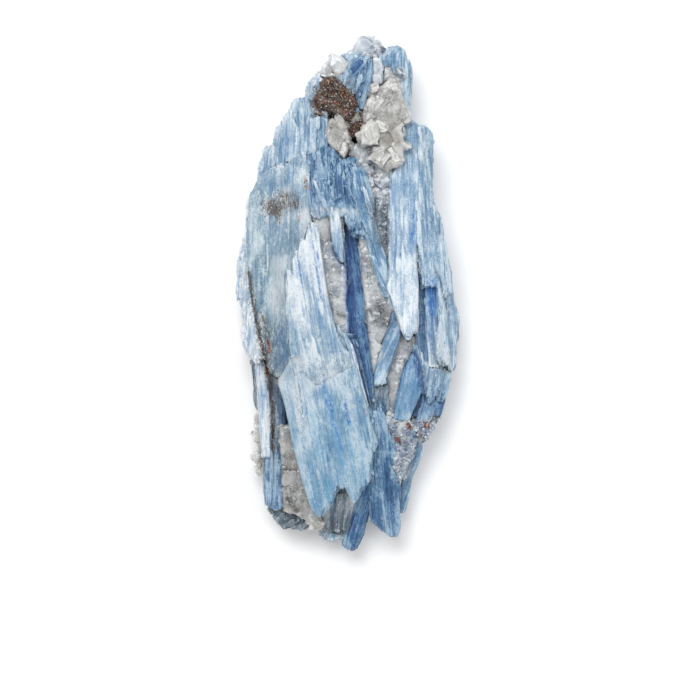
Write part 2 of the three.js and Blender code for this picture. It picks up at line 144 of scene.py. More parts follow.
BLADES = {
    "front_white_sheet": Blade("white", "frost", -9, (1.6, -0.8), "broad", 0.9, 0.3),
    "front_broad_blade": Blade("frost", "cyan", -11, (-0.6, 2.2), "broad", 0.8, 0.7),
    "front_edge_lath": Blade("steel", "sky", -13, (0.6, 1.0)),
    "right_white_blade": Blade("sky", "white", 0, (1.2, 1.2), "broad", 1.0, 0.4),
    "diagonal_lath": Blade("sky", "sky", -14, (1.0, -0.5)),
    "head_blue_lath": Blade("steel", "steel", 12, (0.8, 0.6), "clean"),
    "head_blue_blade": Blade("sky", "steel", 24, (0.8, -0.4), "shards"),
    "head_right_blade": Blade("sky", "sky", 0, (1.4, -0.4)),
    "head_shoulder": Blade("white", "frost", 6, (0.8, -0.4), "shards"),
    "centre_white_lath": Blade("white", "sky", -4, (-0.8, 0.8), "clean"),
    "upper_blue_blade": Blade("steel", "steel", -5, (1.0, -1.2), "rough"),
    "upper_inner_laths": Blade("frost", "sky", 0, (1.0, -1.0)),
    "upper_middle_laths": Blade("white", "sky", 3, (1.2, -1.0)),
    "upper_outer_laths": Blade("frost", "sky", 8, (1.2, -1.0)),
    "upper_edge_laths": Blade("white", "sky", 14, (1.2, -1.0), "rough"),
    "left_broad_blade": Blade("frost", "teal", 2, (1.4, 0.8), "broad", 0.85, 0.8),
    "left_flank_blade": Blade("white", "white", 3, (0.8, -0.8), "rough"),
    "left_pale_lath": Blade("white", "white", -3, (-0.8, 0.6)),
    "left_slate_lath": Blade("slate", "slate", -4, (0.3, 0.5)),
    "lower_left_blade": Blade("slate", "steel", 0, (-0.6, 0.6)),
    "lower_left_foot": Blade("slate", "slate", 60, (0.4, 0.4), "shards"),
    "bottom_spike_blade": Blade("royal", "steel", 14, (-0.6, 0.5)),
    "bottom_grey_blade": Blade("grey", "slate", 4, (-0.6, 1.0)),
    "bottom_knot": Blade("frost", "frost", 30, (-0.3, 0.6), "shards"),
    "lower_right_blade": Blade("steel", "steel", -5, (-2.0, 0.8), "broad", 1.0, 0.4),
    "pointed_blue_blade": Blade("azure", "sky", 8, (0.3, -0.6), "clean", 0.6, 1.0),
    "right_hem_lath": Blade("sky", "sky", 18, (-0.3, 0.6), "clean"),
    "slanted_lath": Blade("steel", "sky", 22, (-0.3, 0.6), "clean", 0.9, 0.4),
    "right_deep_blue_lath": Blade("azure", "white", -6, (-0.6, 1.2)),
    "right_slate_lath": Blade("royal", "steel", -5, (-0.6, 0.8)),
    "right_back_blade": Blade("frost", "sky", -4, (1.0, -0.6)),
    "right_outer_blade": Blade("sky", "frost", -8, (-0.8, 2.6)),
    "right_lower_blade": Blade("frost", "steel", 10, (-1.4, 1.2)),
    "right_foot_blade": Blade("royal", "steel", 16, (-1.0, -1.0), "broad", 1.0, 0.4),
    # Its navy palette is painted shade, for this low blade that lies in its neighbours' shadow.
    "shaded_blade": Blade("navy", "navy", 20, (-0.3, -0.3)),
    "steel_lath": Blade("slate", "steel", 0, (-0.3, -0.3), "rough"),
    "central_deep_blue_blade": Blade("royal", "royal", -8, (-0.4, -0.4), "clean", 1.0, 0.5),
    "inner_blade": Blade("steel", "steel", -6, (0.6, 0.6)),
    "back_blade_centre": Blade("sky", "steel", 0),
    "back_blade_left": Blade("white", "frost", 0),
    "back_blade_right": Blade("steel", "sky", 0),
}

# How far a blade's foot sinks into the blade beneath it, in millimetres.
FOOT_DIPS = {"front_white_sheet": 1.2}

# The styles of blade: sizes of the laths and fibres in millimetres, and how many loose laths
# and chips lie on a square millimetre. A step is how far laths or fibres stand apart in height.
STYLE_INPUTS = ("Lath length", "Lath width", "Lath thickness", "Lath step", "Fibre width")
STYLE_INPUTS += ("Fibre step", "Swell", "Loose laths", "Longest lath", "Chips")
STYLES = {
    "broad": (22.0, 3.0, 1.3, 0.34, 0.55, 0.14, 0.42, 0.03, 11.0, 0.02),
    "clean": (22.0, 2.4, 1.1, 0.26, 0.55, 0.12, 0.26, 0.02, 11.0, 0.03),
    "laths": (22.0, 1.6, 0.9, 0.7, 0.55, 0.2, 0.65, 0.09, 11.0, 0.05),
    "rough": (9.0, 1.2, 0.8, 0.95, 0.55, 0.34, 0.85, 0.2, 5.0, 0.3),
    "shards": (4.5, 2.2, 1.6, 1.2, 0.55, 0.3, 0.95, 0.25, 4.0, 0.5),
    "splinter": (6.0, 0.5, 0.4, 0.22, 0.25, 0.08, 0.12, 0.0, 11.0, 0.1),
}

# Marks laid over the crystals, by kind: the strength, the width in millimetres, and the line
# that the mark follows, as shares of the cluster's width and length from its lowest corner.
MARKS = {
    "pale": (
        (0.8, 1.6, (0.18, 0.56), (0.17, 0.47)),
        (1.0, 1.8, (0.29, 0.655), (0.38, 0.63)),
        (1.0, 0.9, (0.25, 0.335), (0.275, 0.25)),
        (0.8, 0.8, (0.36, 0.662), (0.44, 0.658), (0.53, 0.655)),
        (0.8, 0.8, (0.73, 0.235), (0.74, 0.225)),
        (0.9, 1.2, (0.615, 0.425), (0.63, 0.38)),
        (0.8, 0.8, (0.76, 0.18), (0.77, 0.15)),
        (0.9, 1.2, (0.18, 0.335), (0.22, 0.365), (0.27, 0.37)),
        (0.6, 1.4, (0.25, 0.345), (0.34, 0.325), (0.44, 0.345)),
        (0.9, 1.0, (0.20, 0.675), (0.22, 0.70)),
    ),
    "slate": (
        (0.6, 2.8, (0.15, 0.42), (0.175, 0.36)),
        (1.0, 2.0, (0.62, 0.67), (0.65, 0.60)),
        (1.6, 1.2, (0.655, 0.665), (0.665, 0.60)),
        (1.0, 1.6, (0.63, 0.47), (0.66, 0.445)),
        (0.9, 1.2, (0.50, 0.91), (0.53, 0.88)),
    ),
    "steel": (
        (1.0, 1.1, (0.43, 0.585), (0.455, 0.56)),
        (0.9, 1.1, (0.775, 0.235), (0.80, 0.225)),
        (0.7, 0.8, (0.70, 0.24), (0.72, 0.20)),
        (0.8, 1.3, (0.19, 0.42), (0.205, 0.385), (0.195, 0.36)),
    ),
    "azure": (
        (0.6, 0.7, (0.40, 0.31), (0.43, 0.24), (0.48, 0.16)),
        (0.5, 0.6, (0.47, 0.28), (0.51, 0.20), (0.52, 0.13)),
        (0.5, 0.6, (0.56, 0.20), (0.575, 0.13)),
        (0.6, 0.9, (0.33, 0.27), (0.37, 0.19)),
        (0.6, 0.8, (0.40, 0.14), (0.42, 0.09)),
    ),
    "royal": (
        (1.0, 0.55, (0.79, 0.65), (0.785, 0.60)),
        (1.0, 1.0, (0.875, 0.525), (0.88, 0.465)),
        (0.8, 0.35, (0.385, 0.345), (0.387, 0.315), (0.40, 0.29)),
        (0.8, 0.4, (0.415, 0.30), (0.425, 0.26), (0.47, 0.20)),
        (0.8, 0.5, (0.48, 0.29), (0.50, 0.25)),
        (1.0, 0.2, (0.335, 0.60), (0.36, 0.53), (0.375, 0.49)),
        (1.0, 0.2, (0.27, 0.565), (0.285, 0.52)),
        (1.0, 0.2, (0.355, 0.58), (0.37, 0.53)),
        (0.9, 0.8, (0.49, 0.58), (0.492, 0.50), (0.50, 0.43)),
    ),
    "deep": (
        (1.0, 0.8, (0.495, 0.62), (0.503, 0.54), (0.516, 0.46), (0.545, 0.37)),
        (0.9, 0.8, (0.795, 0.385), (0.82, 0.355), (0.83, 0.32)),
        (0.5, 0.8, (0.80, 0.25), (0.83, 0.24)),
    ),
    "brown": (
        (1.0, 0.55, (0.045, 0.54), (0.055, 0.50), (0.075, 0.46), (0.09, 0.43)),
        (1.0, 0.8, (0.085, 0.44), (0.10, 0.40), (0.125, 0.36), (0.14, 0.33)),
        (1.0, 0.7, (0.14, 0.33), (0.15, 0.27), (0.155, 0.20)),
        (0.8, 0.6, (0.105, 0.46), (0.12, 0.43), (0.13, 0.40)),
        (0.6, 1.0, (0.125, 0.40), (0.145, 0.35)),
        (1.7, 1.6, (0.145, 0.665), (0.17, 0.66)),
        (0.9, 2.4, (0.15, 0.67), (0.20, 0.675)),
        (1.0, 1.2, (0.24, 0.675), (0.26, 0.67)),
        (0.8, 0.8, (0.18, 0.69), (0.25, 0.69)),
        (0.7, 1.3, (0.64, 0.48), (0.67, 0.45)),
        (0.9, 0.7, (0.35, 0.895), (0.345, 0.87), (0.37, 0.845)),
        (0.9, 0.5, (0.45, 0.915), (0.49, 0.875), (0.515, 0.83)),
        (0.6, 0.35, (0.475, 0.27), (0.478, 0.266)),
        (1.0, 0.8, (0.72, 0.222), (0.726, 0.218)),
        (1.0, 0.8, (0.89, 0.262), (0.90, 0.255)),
        (1.0, 0.8, (0.82, 0.228), (0.826, 0.224)),
    ),
    "rust": (
        (1.0, 0.32, (0.132, 0.408), (0.138, 0.39)),
        (0.7, 0.3, (0.118, 0.36), (0.13, 0.345)),
        (1.0, 0.35, (0.30, 0.722), (0.305, 0.718)),
        (1.0, 0.35, (0.312, 0.706), (0.315, 0.703)),
        (1.0, 0.3, (0.27, 0.645), (0.275, 0.642)),
        (1.0, 0.3, (0.175, 0.64), (0.178, 0.637)),
        (0.8, 0.5, (0.345, 0.875), (0.36, 0.85)),
        (0.8, 0.3, (0.57, 0.275), (0.572, 0.27)),
        (1.0, 0.35, (0.768, 0.248), (0.772, 0.24)),
        (1.0, 0.45, (0.85, 0.246), (0.86, 0.245)),
        (0.9, 0.25, (0.72, 0.220), (0.725, 0.216)),
    ),
    # Painted shade: dark lines along the crevices where shade falls between crystals.
    "crack": (
        (1.0, 0.3, (0.045, 0.54), (0.052, 0.50), (0.075, 0.455), (0.105, 0.40)),
        (0.9, 0.3, (0.105, 0.40), (0.13, 0.35), (0.148, 0.29), (0.15, 0.22)),
        (1.0, 0.7, (0.455, 0.462), (0.475, 0.458)),
        (0.8, 0.8, (0.595, 0.468), (0.62, 0.447)),
        (1.0, 0.3, (0.81, 0.595), (0.825, 0.52)),
        (1.0, 0.25, (0.90, 0.547), (0.955, 0.462)),
        (1.0, 0.6, (0.93, 0.355), (0.945, 0.352)),
        (1.0, 0.8, (0.22, 0.105), (0.26, 0.082)),
    ),
}

# Single splinters that lie on the crystals: a palette, the width and thickness in
# millimetres, and where the head and the foot lie, as shares of the width and length.
SPLINTERS = (
    ("sky", 0.8, 0.5, (0.471, 0.423), (0.544, 0.416)),
    ("white", 0.7, 0.7, (0.503, 0.409), (0.574, 0.295)),
    ("navy", 0.5, 0.6, (0.518, 0.407), (0.591, 0.287)),
    ("white", 0.6, 0.5, (0.258, 0.334), (0.282, 0.271)),
    ("white", 0.5, 0.5, (0.282, 0.319), (0.301, 0.255)),
    ("white", 0.6, 0.5, (0.417, 0.670), (0.432, 0.635)),
    ("royal", 1.1, 1.0, (0.662, 0.979), (0.647, 0.969)),
    ("royal", 2.3, 0.9, (0.568, 0.949), (0.510, 0.926)),
    ("sky", 1.0, 0.8, (0.796, 0.406), (0.834, 0.350)),
    ("sky", 0.9, 0.7, (0.609, 0.572), (0.660, 0.508)),
    ("slate", 0.6, 0.5, (0.572, 0.451), (0.591, 0.425)),
    ("white", 0.7, 0.6, (0.176, 0.695), (0.151, 0.651)),
    ("white", 0.6, 0.5, (0.338, 0.719), (0.376, 0.674)),
    ("white", 0.8, 0.6, (0.566, 0.706), (0.600, 0.647)),
    ("steel", 0.9, 0.7, (0.484, 0.712), (0.529, 0.662)),
)

# Each lump with its sort, the size of its chunks in millimetres, or 0 where it has none, and
# how steeply its broken facets are tilted.
LUMPS = {
    "quartz_head_knob": ("pearly", 3.4, 0.4),
    "quartz_head_lump": ("milky", 5.0, 0.4),
    "quartz_neck_lump": ("smoky", 3.4, 0.4),
    "quartz_head_slab": ("frosted", 0.0, 0.3),
    "quartz_head_grey": ("slate", 3.0, 0.3),
    "quartz_peak": ("frosted", 5.0, 0.4),
    "quartz_head_left": ("icy", 3.5, 0.4),
    "quartz_left_lump": ("pearly", 3.5, 0.5),
    "quartz_lower_left": ("smoky", 1.7, 0.3),
    "quartz_lower_right": ("rubble", 1.6, 0.5),
    "quartz_centre_left": ("grey", 0.0, 0.22),
    "quartz_centre_right": ("grey", 0.0, 0.22),
    "quartz_pocket": ("icy", 0.0, 0.25),
    "grey_seam": ("slate", 0.0, 0.25),
    "garnet_crust": ("crust", 1.6, 0.5),
}
SWELL = 0.3  # how far a lump's skin stands out from its solid, in millimetres
SWELLS = {"grey_seam": 0.9, "garnet_crust": 0.7}
# The sorts that are broken more coarsely than the rest, and how.
COARSE_SORTS = ("rubble", "crust")
COARSE_FORM = {"Chip tilt": 0.5, "Crumb tilt": 0.6, "Shards": 0.0}

# Crystals that carry grains.
CRUST = ("garnet_crust",)
RUBBLE = ("quartz_lower_right",)
FRONT = ("front_white_sheet", "front_broad_blade")
STAINED = ("left_broad_blade", "left_flank_blade", "lower_left_blade", "left_pale_lath")
STAINED += ("quartz_lower_right", "right_foot_blade", "quartz_left_lump", "head_blue_blade")
STAINED += ("head_shoulder", "quartz_head_left", "quartz_head_knob")
CRUMBLED = ("grey_seam", "head_shoulder", "quartz_pocket", "quartz_head_lump")
CRUMBLED += ("quartz_neck_lump", "quartz_lower_left", "quartz_centre_right", "head_blue_blade")
DEEP_BLUE = ("central_deep_blue_blade", "shaded_blade", "bottom_spike_blade")
DEEP_BLUE += ("pointed_blue_blade", "slanted_lath", "lower_right_blade", "right_foot_blade")
FROSTED = tuple(node for node in BLADES if node not in DEEP_BLUE)

# The pieces made of grains: who carries them, their sort, how many lie on a square millimetre,
# the seed, and the other inputs of the grains tree. Sizes are in millimetres.
SMALL = {"Smallest": 0.16, "Largest": 0.38}
BIG = {"Smallest": 0.25, "Largest": 0.65}
NESTS = {"Smallest": 0.14, "Largest": 0.34, "Nest edge": 0.42}
SINGLE = {"Smallest": 0.35, "Largest": 0.75, "Nest edge": 0.0}
GRAINS = {
    "crust_garnets": (CRUST, "garnet", 11.0, 3, {**SMALL, "Nest edge": 0.49}),
    "crust_mica": (CRUST, "mica", 9.0, 4, {"Flatness": 0.3, "Largest": 0.8}),
    "crust_crumbs": (CRUST, "crumb", 2.0, 7, SMALL),
    "blade_mica": (STAINED, "mica", 2.2, 5, {**SMALL, "Mark": "brown"}),
    "rubble_garnets": (RUBBLE, "garnet", 2.4, 2, {**SINGLE, "Mark": "rust"}),
    "rubble_flakes": (RUBBLE, "mica", 0.5, 12, SMALL),
    "rubble_crumbs": (RUBBLE, "frost", 0.5, 13, BIG),
    "blade_garnets": (STAINED, "garnet", 4.5, 6, {**BIG, "Mark": "rust"}),
    "seam_crumbs": (("grey_seam",), "crumb", 2.2, 14, SMALL),
    "edge_crumbs": (FRONT, "frost", 1.6, 15, {**SMALL, "Mark": "pale"}),
    "frost_crumbs": (FROSTED, "frost", 0.45, 9, NESTS),
    "loose_crumbs": (CRUMBLED, "crumb", 0.6, 8, SMALL),
}


def linear(colour):
    """A display colour, 0 to 255, as the light that the renderer works with."""
    shares = [channel / 255 for channel in colour]
    return tuple(c / 12.92 if c <= 0.04045 else ((c + 0.055) / 1.055) ** 2.4 for c in shares)


# ---------------------------------------------------------------- node tree helpers
SOCKET_KINDS = {float: "Float", int: "Int", str: "String", type(None): "Material"}


def add(tree, kind, settings=None, **inputs):
    """Adds a node. Inputs are named with _ for a space, and take a value or a socket."""
    node = tree.nodes.new(kind)
    for key, value in (settings or {}).items():
        setattr(node, key, value)
    for key, value in inputs.items():
        plug(tree, node, key.replace("_", " "), value)
    return node


def plug(tree, node, key, value):
    socket = node.inputs[key]
    if isinstance(value, bpy.types.NodeSocket):
        tree.links.new(value, socket)
    else:
        socket.default_value = value


def calc(tree, operation, a, b=0.0, c=0.0):
    node = add(tree, "ShaderNodeMath", {"operation": operation})
    for i, value in enumerate((a, b, c)):
        plug(tree, node, i, value)
    return node.outputs[0]


def times(tree, a, b):
    return calc(tree, "MULTIPLY", a, b)


def weighted(tree, level, *terms):
    """Adds values to a level, each times its weight."""
    for value, weight in terms:
        level = calc(tree, "MULTIPLY_ADD", value, weight, level)
    return level


def vector(tree, operation, a, b):
    node = add(tree, "ShaderNodeVectorMath", {"operation": operation})
    plug(tree, node, 0, a)
    plug(tree, node, "Scale" if operation == "SCALE" else 1, b)
    return node.outputs["Value" if operation == "DOT_PRODUCT" else "Vector"]


def combine(tree, x, y, z):
    return add(tree, "ShaderNodeCombineXYZ", X=x, Y=y, Z=z).outputs[0]


def separate(tree, value):
    return add(tree, "ShaderNodeSeparateXYZ", Vector=value).outputs


def remap(tree, value, low, high, to_low=0.0, to_high=1.0):
    """Stretches a value from one range to another, and keeps it inside."""
    ends = {"From_Min": low, "From_Max": high, "To_Min": to_low, "To_Max": to_high}
    return add(tree, "ShaderNodeMapRange", Value=value, **ends).outputs["Result"]


def noise(tree, place, scale, detail=2.0, rough=0.5, output="Fac"):
    inputs = {"Vector": place, "Scale": scale, "Detail": detail, "Roughness": rough}
    return add(tree, "ShaderNodeTexNoise", **inputs).outputs[output]


def random_value(tree, low, high, seed):
    """A random number for each point. Every draw has its own seed."""
    node = add(tree, "FunctionNodeRandomValue", {"data_type": "FLOAT"})
    for i, value in ((2, low), (3, high), (8, seed)):
        plug(tree, node, i, value)
    return node.outputs[1]


# ---------------------------------------------------------------- geometry tree helpers
def geometry_tree(name, inputs):
    """An empty geometry tree, its inputs by name, and its output node.

    What kind an input is follows from its default value. None stands for a material.
    """
    tree = bpy.data.node_groups.new(name, "GeometryNodeTree")
    tree.interface.new_socket("Geometry", in_out="INPUT", socket_type="NodeSocketGeometry")
    for label, value in inputs.items():
        kind = "NodeSocket" + SOCKET_KINDS[type(value)]
        socket = tree.interface.new_socket(label, in_out="INPUT", socket_type=kind)
        if value is not None:
            socket.default_value = value
    tree.interface.new_socket("Geometry", in_out="OUTPUT", socket_type="NodeSocketGeometry")
    return tree, tree.nodes.new("NodeGroupInput").outputs, tree.nodes.new("NodeGroupOutput")


def store(tree, geometry, name, value, kind="FLOAT", domain="POINT"):
    settings = {"data_type": kind, "domain": domain}
    inputs = {"Geometry": geometry, "Name": name, "Value": value}
    return add(tree, "GeometryNodeStoreNamedAttribute", settings, **inputs).outputs["Geometry"]


def named(tree, name):
    node = add(tree, "GeometryNodeInputNamedAttribute", {"data_type": "FLOAT"}, Name=name)
    return node.outputs["Attribute"]


def here(tree):
    """The place of each point."""
    return add(tree, "GeometryNodeInputPosition").outputs[0]


def skin_normal(tree):
    """The direction that the skin faces at each point."""
    return add(tree, "GeometryNodeInputNormal").outputs[0]


def shifted(tree, geometry, offset):
    return add(tree, "GeometryNodeSetPosition", Geometry=geometry, Offset=offset).outputs[0]


def placed(tree, geometry, position):
    return add(tree, "GeometryNodeSetPosition", Geometry=geometry, Position=position).outputs[0]


def joined(tree, parts):
    """Several geometries as one, in their order."""
    node = tree.nodes.new("GeometryNodeJoinGeometry")
    for part in parts:
        tree.links.new(part, node.inputs[0])
    return node.outputs[0]


def realized(tree, geometry):
    return add(tree, "GeometryNodeRealizeInstances", Geometry=geometry).outputs[0]


def finish_tree(tree, geometry, material, result):
    whole = realized(tree, geometry)
    painted = add(tree, "GeometryNodeSetMaterial", Geometry=whole, Material=material).outputs[0]
    tree.links.new(painted, result.inputs[0])


def spread_over(tree, host, density, seed, lift):
    """Points over a skin, lifted off it or, below zero, sunk into it, and its normals there."""
    inputs = {"Mesh": host, "Density": density, "Seed": seed}
    spread = add(tree, "GeometryNodeDistributePointsOnFaces", **inputs).outputs
    facing = spread["Normal"]
    return shifted(tree, spread["Points"], vector(tree, "SCALE", facing, lift)), facing


def copies_on(tree, points, form, turn, size, pick=False):
    inputs = {"Points": points, "Instance": form, "Rotation": turn, "Scale": size}
    inputs["Pick_Instance"] = pick
    return add(tree, "GeometryNodeInstanceOnPoints", **inputs).outputs[0]


def scatter(tree, host, form, density, size, seed, wobble=1.0, sink=0.0):
    """Copies a form over a skin, flat on it and along the grain give or take the wobble."""
    points, facing = spread_over(tree, host, density, seed, -sink)
    sway = times(tree, random_value(tree, -1.0, 1.0, 21), wobble)
    lift = times(tree, random_value(tree, -1.0, 1.0, 22), wobble)
    turn = add(
        tree,
        "FunctionNodeAxesToRotation",
        {"primary_axis": "Z", "secondary_axis": "X"},
        Primary_Axis=facing,
        Secondary_Axis=combine(tree, 1.0, sway, lift),
    ).outputs[0]
    copies = copies_on(tree, points, form, turn, size)
    for name, lowest, draw in (("tone", 0.0, 31), ("fibre_tone", 0.2, 32)):
        value = random_value(tree, lowest, 1.0, draw)
        copies = store(tree, copies, name, value, domain="INSTANCE")
    return copies


LATH_TAPER = 0.72  # how much thinner a lath is at its ends than in the middle


def lath_form(tree):
    """A lath one unit long, wide and thick, tapered to slanting ends."""
    block = add(tree, "GeometryNodeMeshCube", Size=(1.0, 1.0, 1.0), Vertices_X=5)
    x, y, z = separate(tree, here(tree))
    reach = calc(tree, "POWER", calc(tree, "ABSOLUTE", times(tree, x, 2.0)), 3.0)
    taper = calc(tree, "SUBTRACT", 1.0, times(tree, reach, LATH_TAPER))
    slanted = weighted(tree, x, (y, LATH_SLANT))
    place = combine(tree, slanted, times(tree, y, taper), times(tree, z, taper))
    return placed(tree, block.outputs["Mesh"], place)


# ---------------------------------------------------------------- cleaved blade
RAY_INSET = 0.35  # how far under the skin a ray starts, in millimetres
RAY_LENGTH = 400.0  # longer than any blade, in millimetres
WANDER_PACE = (0.06, 0.25, 0.25)  # how quickly the grain wanders along and across a blade
WANDER_REACH = (0.0, 1.6, 0.8)  # how far it wanders, in millimetres
FIBRE_SHARE = 0.45  # a fibre's length as a share of a lath's
LATH_LEVEL = 0.8  # the share of laths that lie lower than the blade's own surface
FIBRE_LEVEL = 0.7  # the share of fibres that lie lower than their lath's
FIBRE_SEED = 7.3  # added to a blade's seed for its fibres
SPLINTER_SEED = 3.1  # added to a blade's seed for its splinters
SPLINTER_CELL = (60.0, 0.9, 0.7)  # length, width and thickness of a splinter, in millimetres
SPLINTER_ZONE = 2.6  # how far from an end its splinters begin, in lengths of a splinter
END_RELIEF = 0.15  # how much of the relief the ends of a blade get
DIP_LENGTH = 5.0  # how long the sunken end of a foot is, in millimetres
DIP_CURVE = 1.5
ROOM = 1.8  # how long a loose lath may be, as a multiple of its distance to the nearer end
# Loose laths and chips: their least and greatest sizes, in millimetres.
LOOSE_SHORTEST = 2.0
LOOSE_WIDTHS = (0.35, 1.2)
LOOSE_THICKNESSES = (0.3, 0.7)
CHIP_GIRTHS = (0.25, 0.8)
CHIP_LENGTH = 1.7  # in girths


def ray(tree, target, start, direction):
    """How far it is from a start to the target's skin."""
    node = add(tree, "GeometryNodeRaycast", Target_Geometry=target, Source_Position=start)
    plug(tree, node, "Ray Direction", direction)
    plug(tree, node, "Ray Length", RAY_LENGTH)
    return node.outputs["Hit Distance"]


def cells(tree, position, size, seed):
    """Long cells along the grain: each cell's random colour, and the distance to its core."""
    shift = combine(tree, seed, times(tree, seed, 1.7), seed)
    place = vector(tree, "ADD", vector(tree, "DIVIDE", position, size), shift)
    node = add(tree, "ShaderNodeTexVoronoi", Vector=place, Scale=1.0)
    return separate(tree, node.outputs["Color"]), node.outputs["Distance"]


def build_cleaved_tree():
    """Turns a plain blade, in millimetres with its grain along X, into stacked laths."""
    ends = {"Head splinters": 1.2, "Foot splinters": 1.2, "Foot dip": 0.0}
    inputs = {**style_inputs("laths"), **ends, "Seed": 0.0, "Material": None}
    tree, value, result = geometry_tree("Cleaved blade", inputs)
    seed = value["Seed"]
    position = here(tree)
    normal = skin_normal(tree)
    full_length = vector(tree, "MULTIPLY", position, (STRETCH, 1.0, 1.0))
    unsqueezed = placed(tree, value["Geometry"], full_length)

    # How far the blade reaches ahead of and behind each point, along the grain.
    inside = vector(tree, "ADD", position, vector(tree, "SCALE", normal, -RAY_INSET))
    base = store(tree, unsqueezed, "ahead", ray(tree, unsqueezed, inside, (1.0, 0.0, 0.0)))
    base = store(tree, base, "behind", ray(tree, unsqueezed, inside, (-1.0, 0.0, 0.0)))
    ahead = named(tree, "ahead")
    behind = named(tree, "behind")

    # Laths and fibres: long flat cells, each raised or sunk as a whole.
    slow = vector(tree, "MULTIPLY", position, WANDER_PACE)
    wander = vector(tree, "MULTIPLY", noise(tree, slow, 1.0, output="Color"), WANDER_REACH)
    bent = vector(tree, "ADD", position, wander)
    size = combine(tree, value["Lath length"], value["Lath width"], value["Lath thickness"])
    lath, _ = cells(tree, bent, size, seed)
    fibre_length = times(tree, value["Lath length"], FIBRE_SHARE)
    size = combine(tree, fibre_length, value["Fibre width"], value["Fibre width"])
    fibre, _ = cells(tree, bent, size, calc(tree, "ADD", seed, FIBRE_SEED))
    relief = times(tree, calc(tree, "SUBTRACT", lath[0], LATH_LEVEL), value["Lath step"])
    fine = times(tree, calc(tree, "SUBTRACT", fibre[0], FIBRE_LEVEL), value["Fibre step"])
    relief = calc(tree, "ADD", calc(tree, "ADD", relief, fine), value["Swell"])

    # Splinters: towards both ends each fibre stops short, or runs on, by its own amount.
    size = combine(tree, *SPLINTER_CELL)
    splinter, core = cells(tree, bent, size, calc(tree, "ADD", seed, SPLINTER_SEED))
    lacking = weighted(tree, splinter[1], (core, 0.5))
    near_ends = []
    pulls = []
    for end, gap in (("Head splinters", ahead), ("Foot splinters", behind)):
        zone = times(tree, calc(tree, "ABSOLUTE", value[end]), SPLINTER_ZONE)
        share = calc(tree, "MINIMUM", calc(tree, "DIVIDE", gap, zone), 1.0)
        near = calc(tree, "POWER", calc(tree, "SUBTRACT", 1.0, share), 2.0)
        near_ends.append(near)
        pulls.append(times(tree, near, value[end]))
    along = times(tree, calc(tree, "SUBTRACT", pulls[1], pulls[0]), lacking)

    # The relief works across the grain, so that the ends stay where the splinters stop.
    across = vector(tree, "MULTIPLY", normal, (END_RELIEF, 1.0, 1.0))
    dip = calc(tree, "POWER", remap(tree, behind, DIP_LENGTH, 0.0), DIP_CURVE)
    dip = times(tree, dip, times(tree, value["Foot dip"], -1.0))
    shift = vector(tree, "SCALE", across, relief)
    shift = vector(tree, "ADD", shift, combine(tree, along, 0.0, dip))
    shaped = store(tree, base, "tone", lath[2])
    shaped = store(tree, shaped, "fibre_tone", fibre[1])
    shaped = store(tree, shaped, "fray", calc(tree, "MAXIMUM", *near_ends))
    shaped = shifted(tree, shaped, shift)

    # Loose laths and chips that have grown on the blade or broken off it.
    form = lath_form(tree)
    room = times(tree, calc(tree, "MINIMUM", ahead, behind), ROOM)
    long = random_value(tree, LOOSE_SHORTEST, value["Longest lath"], seed)
    long = calc(tree, "MINIMUM", long, room)
    wide = random_value(tree, *LOOSE_WIDTHS, 11)
    size = combine(tree, long, wide, random_value(tree, *LOOSE_THICKNESSES, 12))
    density = value["Loose laths"]
    laths = scatter(tree, shaped, form, density, size, seed, wobble=0.06, sink=0.16)
    girth = random_value(tree, *CHIP_GIRTHS, 13)
    size = combine(tree, times(tree, girth, CHIP_LENGTH), girth, girth)
    chips = scatter(tree, shaped, form, value["Chips"], size, seed)
    whole = realized(tree, joined(tree, (shaped, laths, chips)))
    whole = store(tree, whole, "grain", position, "FLOAT_VECTOR")
    finish_tree(tree, whole, value["Material"], result)
    return tree


def style_inputs(style):
    """The inputs of the cleaved tree that a style sets."""
    return dict(zip(STYLE_INPUTS, STYLES[style]))


# ---------------------------------------------------------------- broken quartz
CHUNK_KINDS = 6
CHUNK_DRAWS = 70  # the first of the chunks' own random draws
CHUNK_CUBE = (0.72, 0.72, 0.72)  # the cube that a chunk is bent from, one unit being its size
CHUNK_JOLT = 0.24  # how far each of its corners is pushed
CHUNK_GIRTHS = (0.5, 1.0)  # least and greatest, as shares of the largest
CHUNK_LENGTHS = (1.0, 1.4)  # in girths
CHUNK_HEIGHTS = (0.65, 0.9)
CHUNK_DEPTH = 0.5  # how deep a chunk sits in its lump, in girths
FACET_LEVEL = 0.12  # how far the middle of a facet lies under the lump's own surface
SHARD_GIRTHS = (0.4, 1.1)  # in millimetres
SHARD_LENGTH = 1.6  # in girths


def chunk_forms(tree):
    """A set of angular chunks, about one unit across, each with a few flat faces."""
    forms = []
    for first in range(CHUNK_DRAWS, CHUNK_DRAWS + 3 * CHUNK_KINDS, 3):
        block = add(tree, "GeometryNodeMeshCube", Size=CHUNK_CUBE)
        draws = range(first, first + 3)
        jolts = (random_value(tree, -CHUNK_JOLT, CHUNK_JOLT, draw) for draw in draws)
        bent = shifted(tree, block.outputs["Mesh"], combine(tree, *jolts))
        hull = add(tree, "GeometryNodeConvexHull", Geometry=bent).outputs[0]
        forms.append(add(tree, "GeometryNodeGeometryToInstance", Geometry=hull).outputs[0])
    return joined(tree, forms)


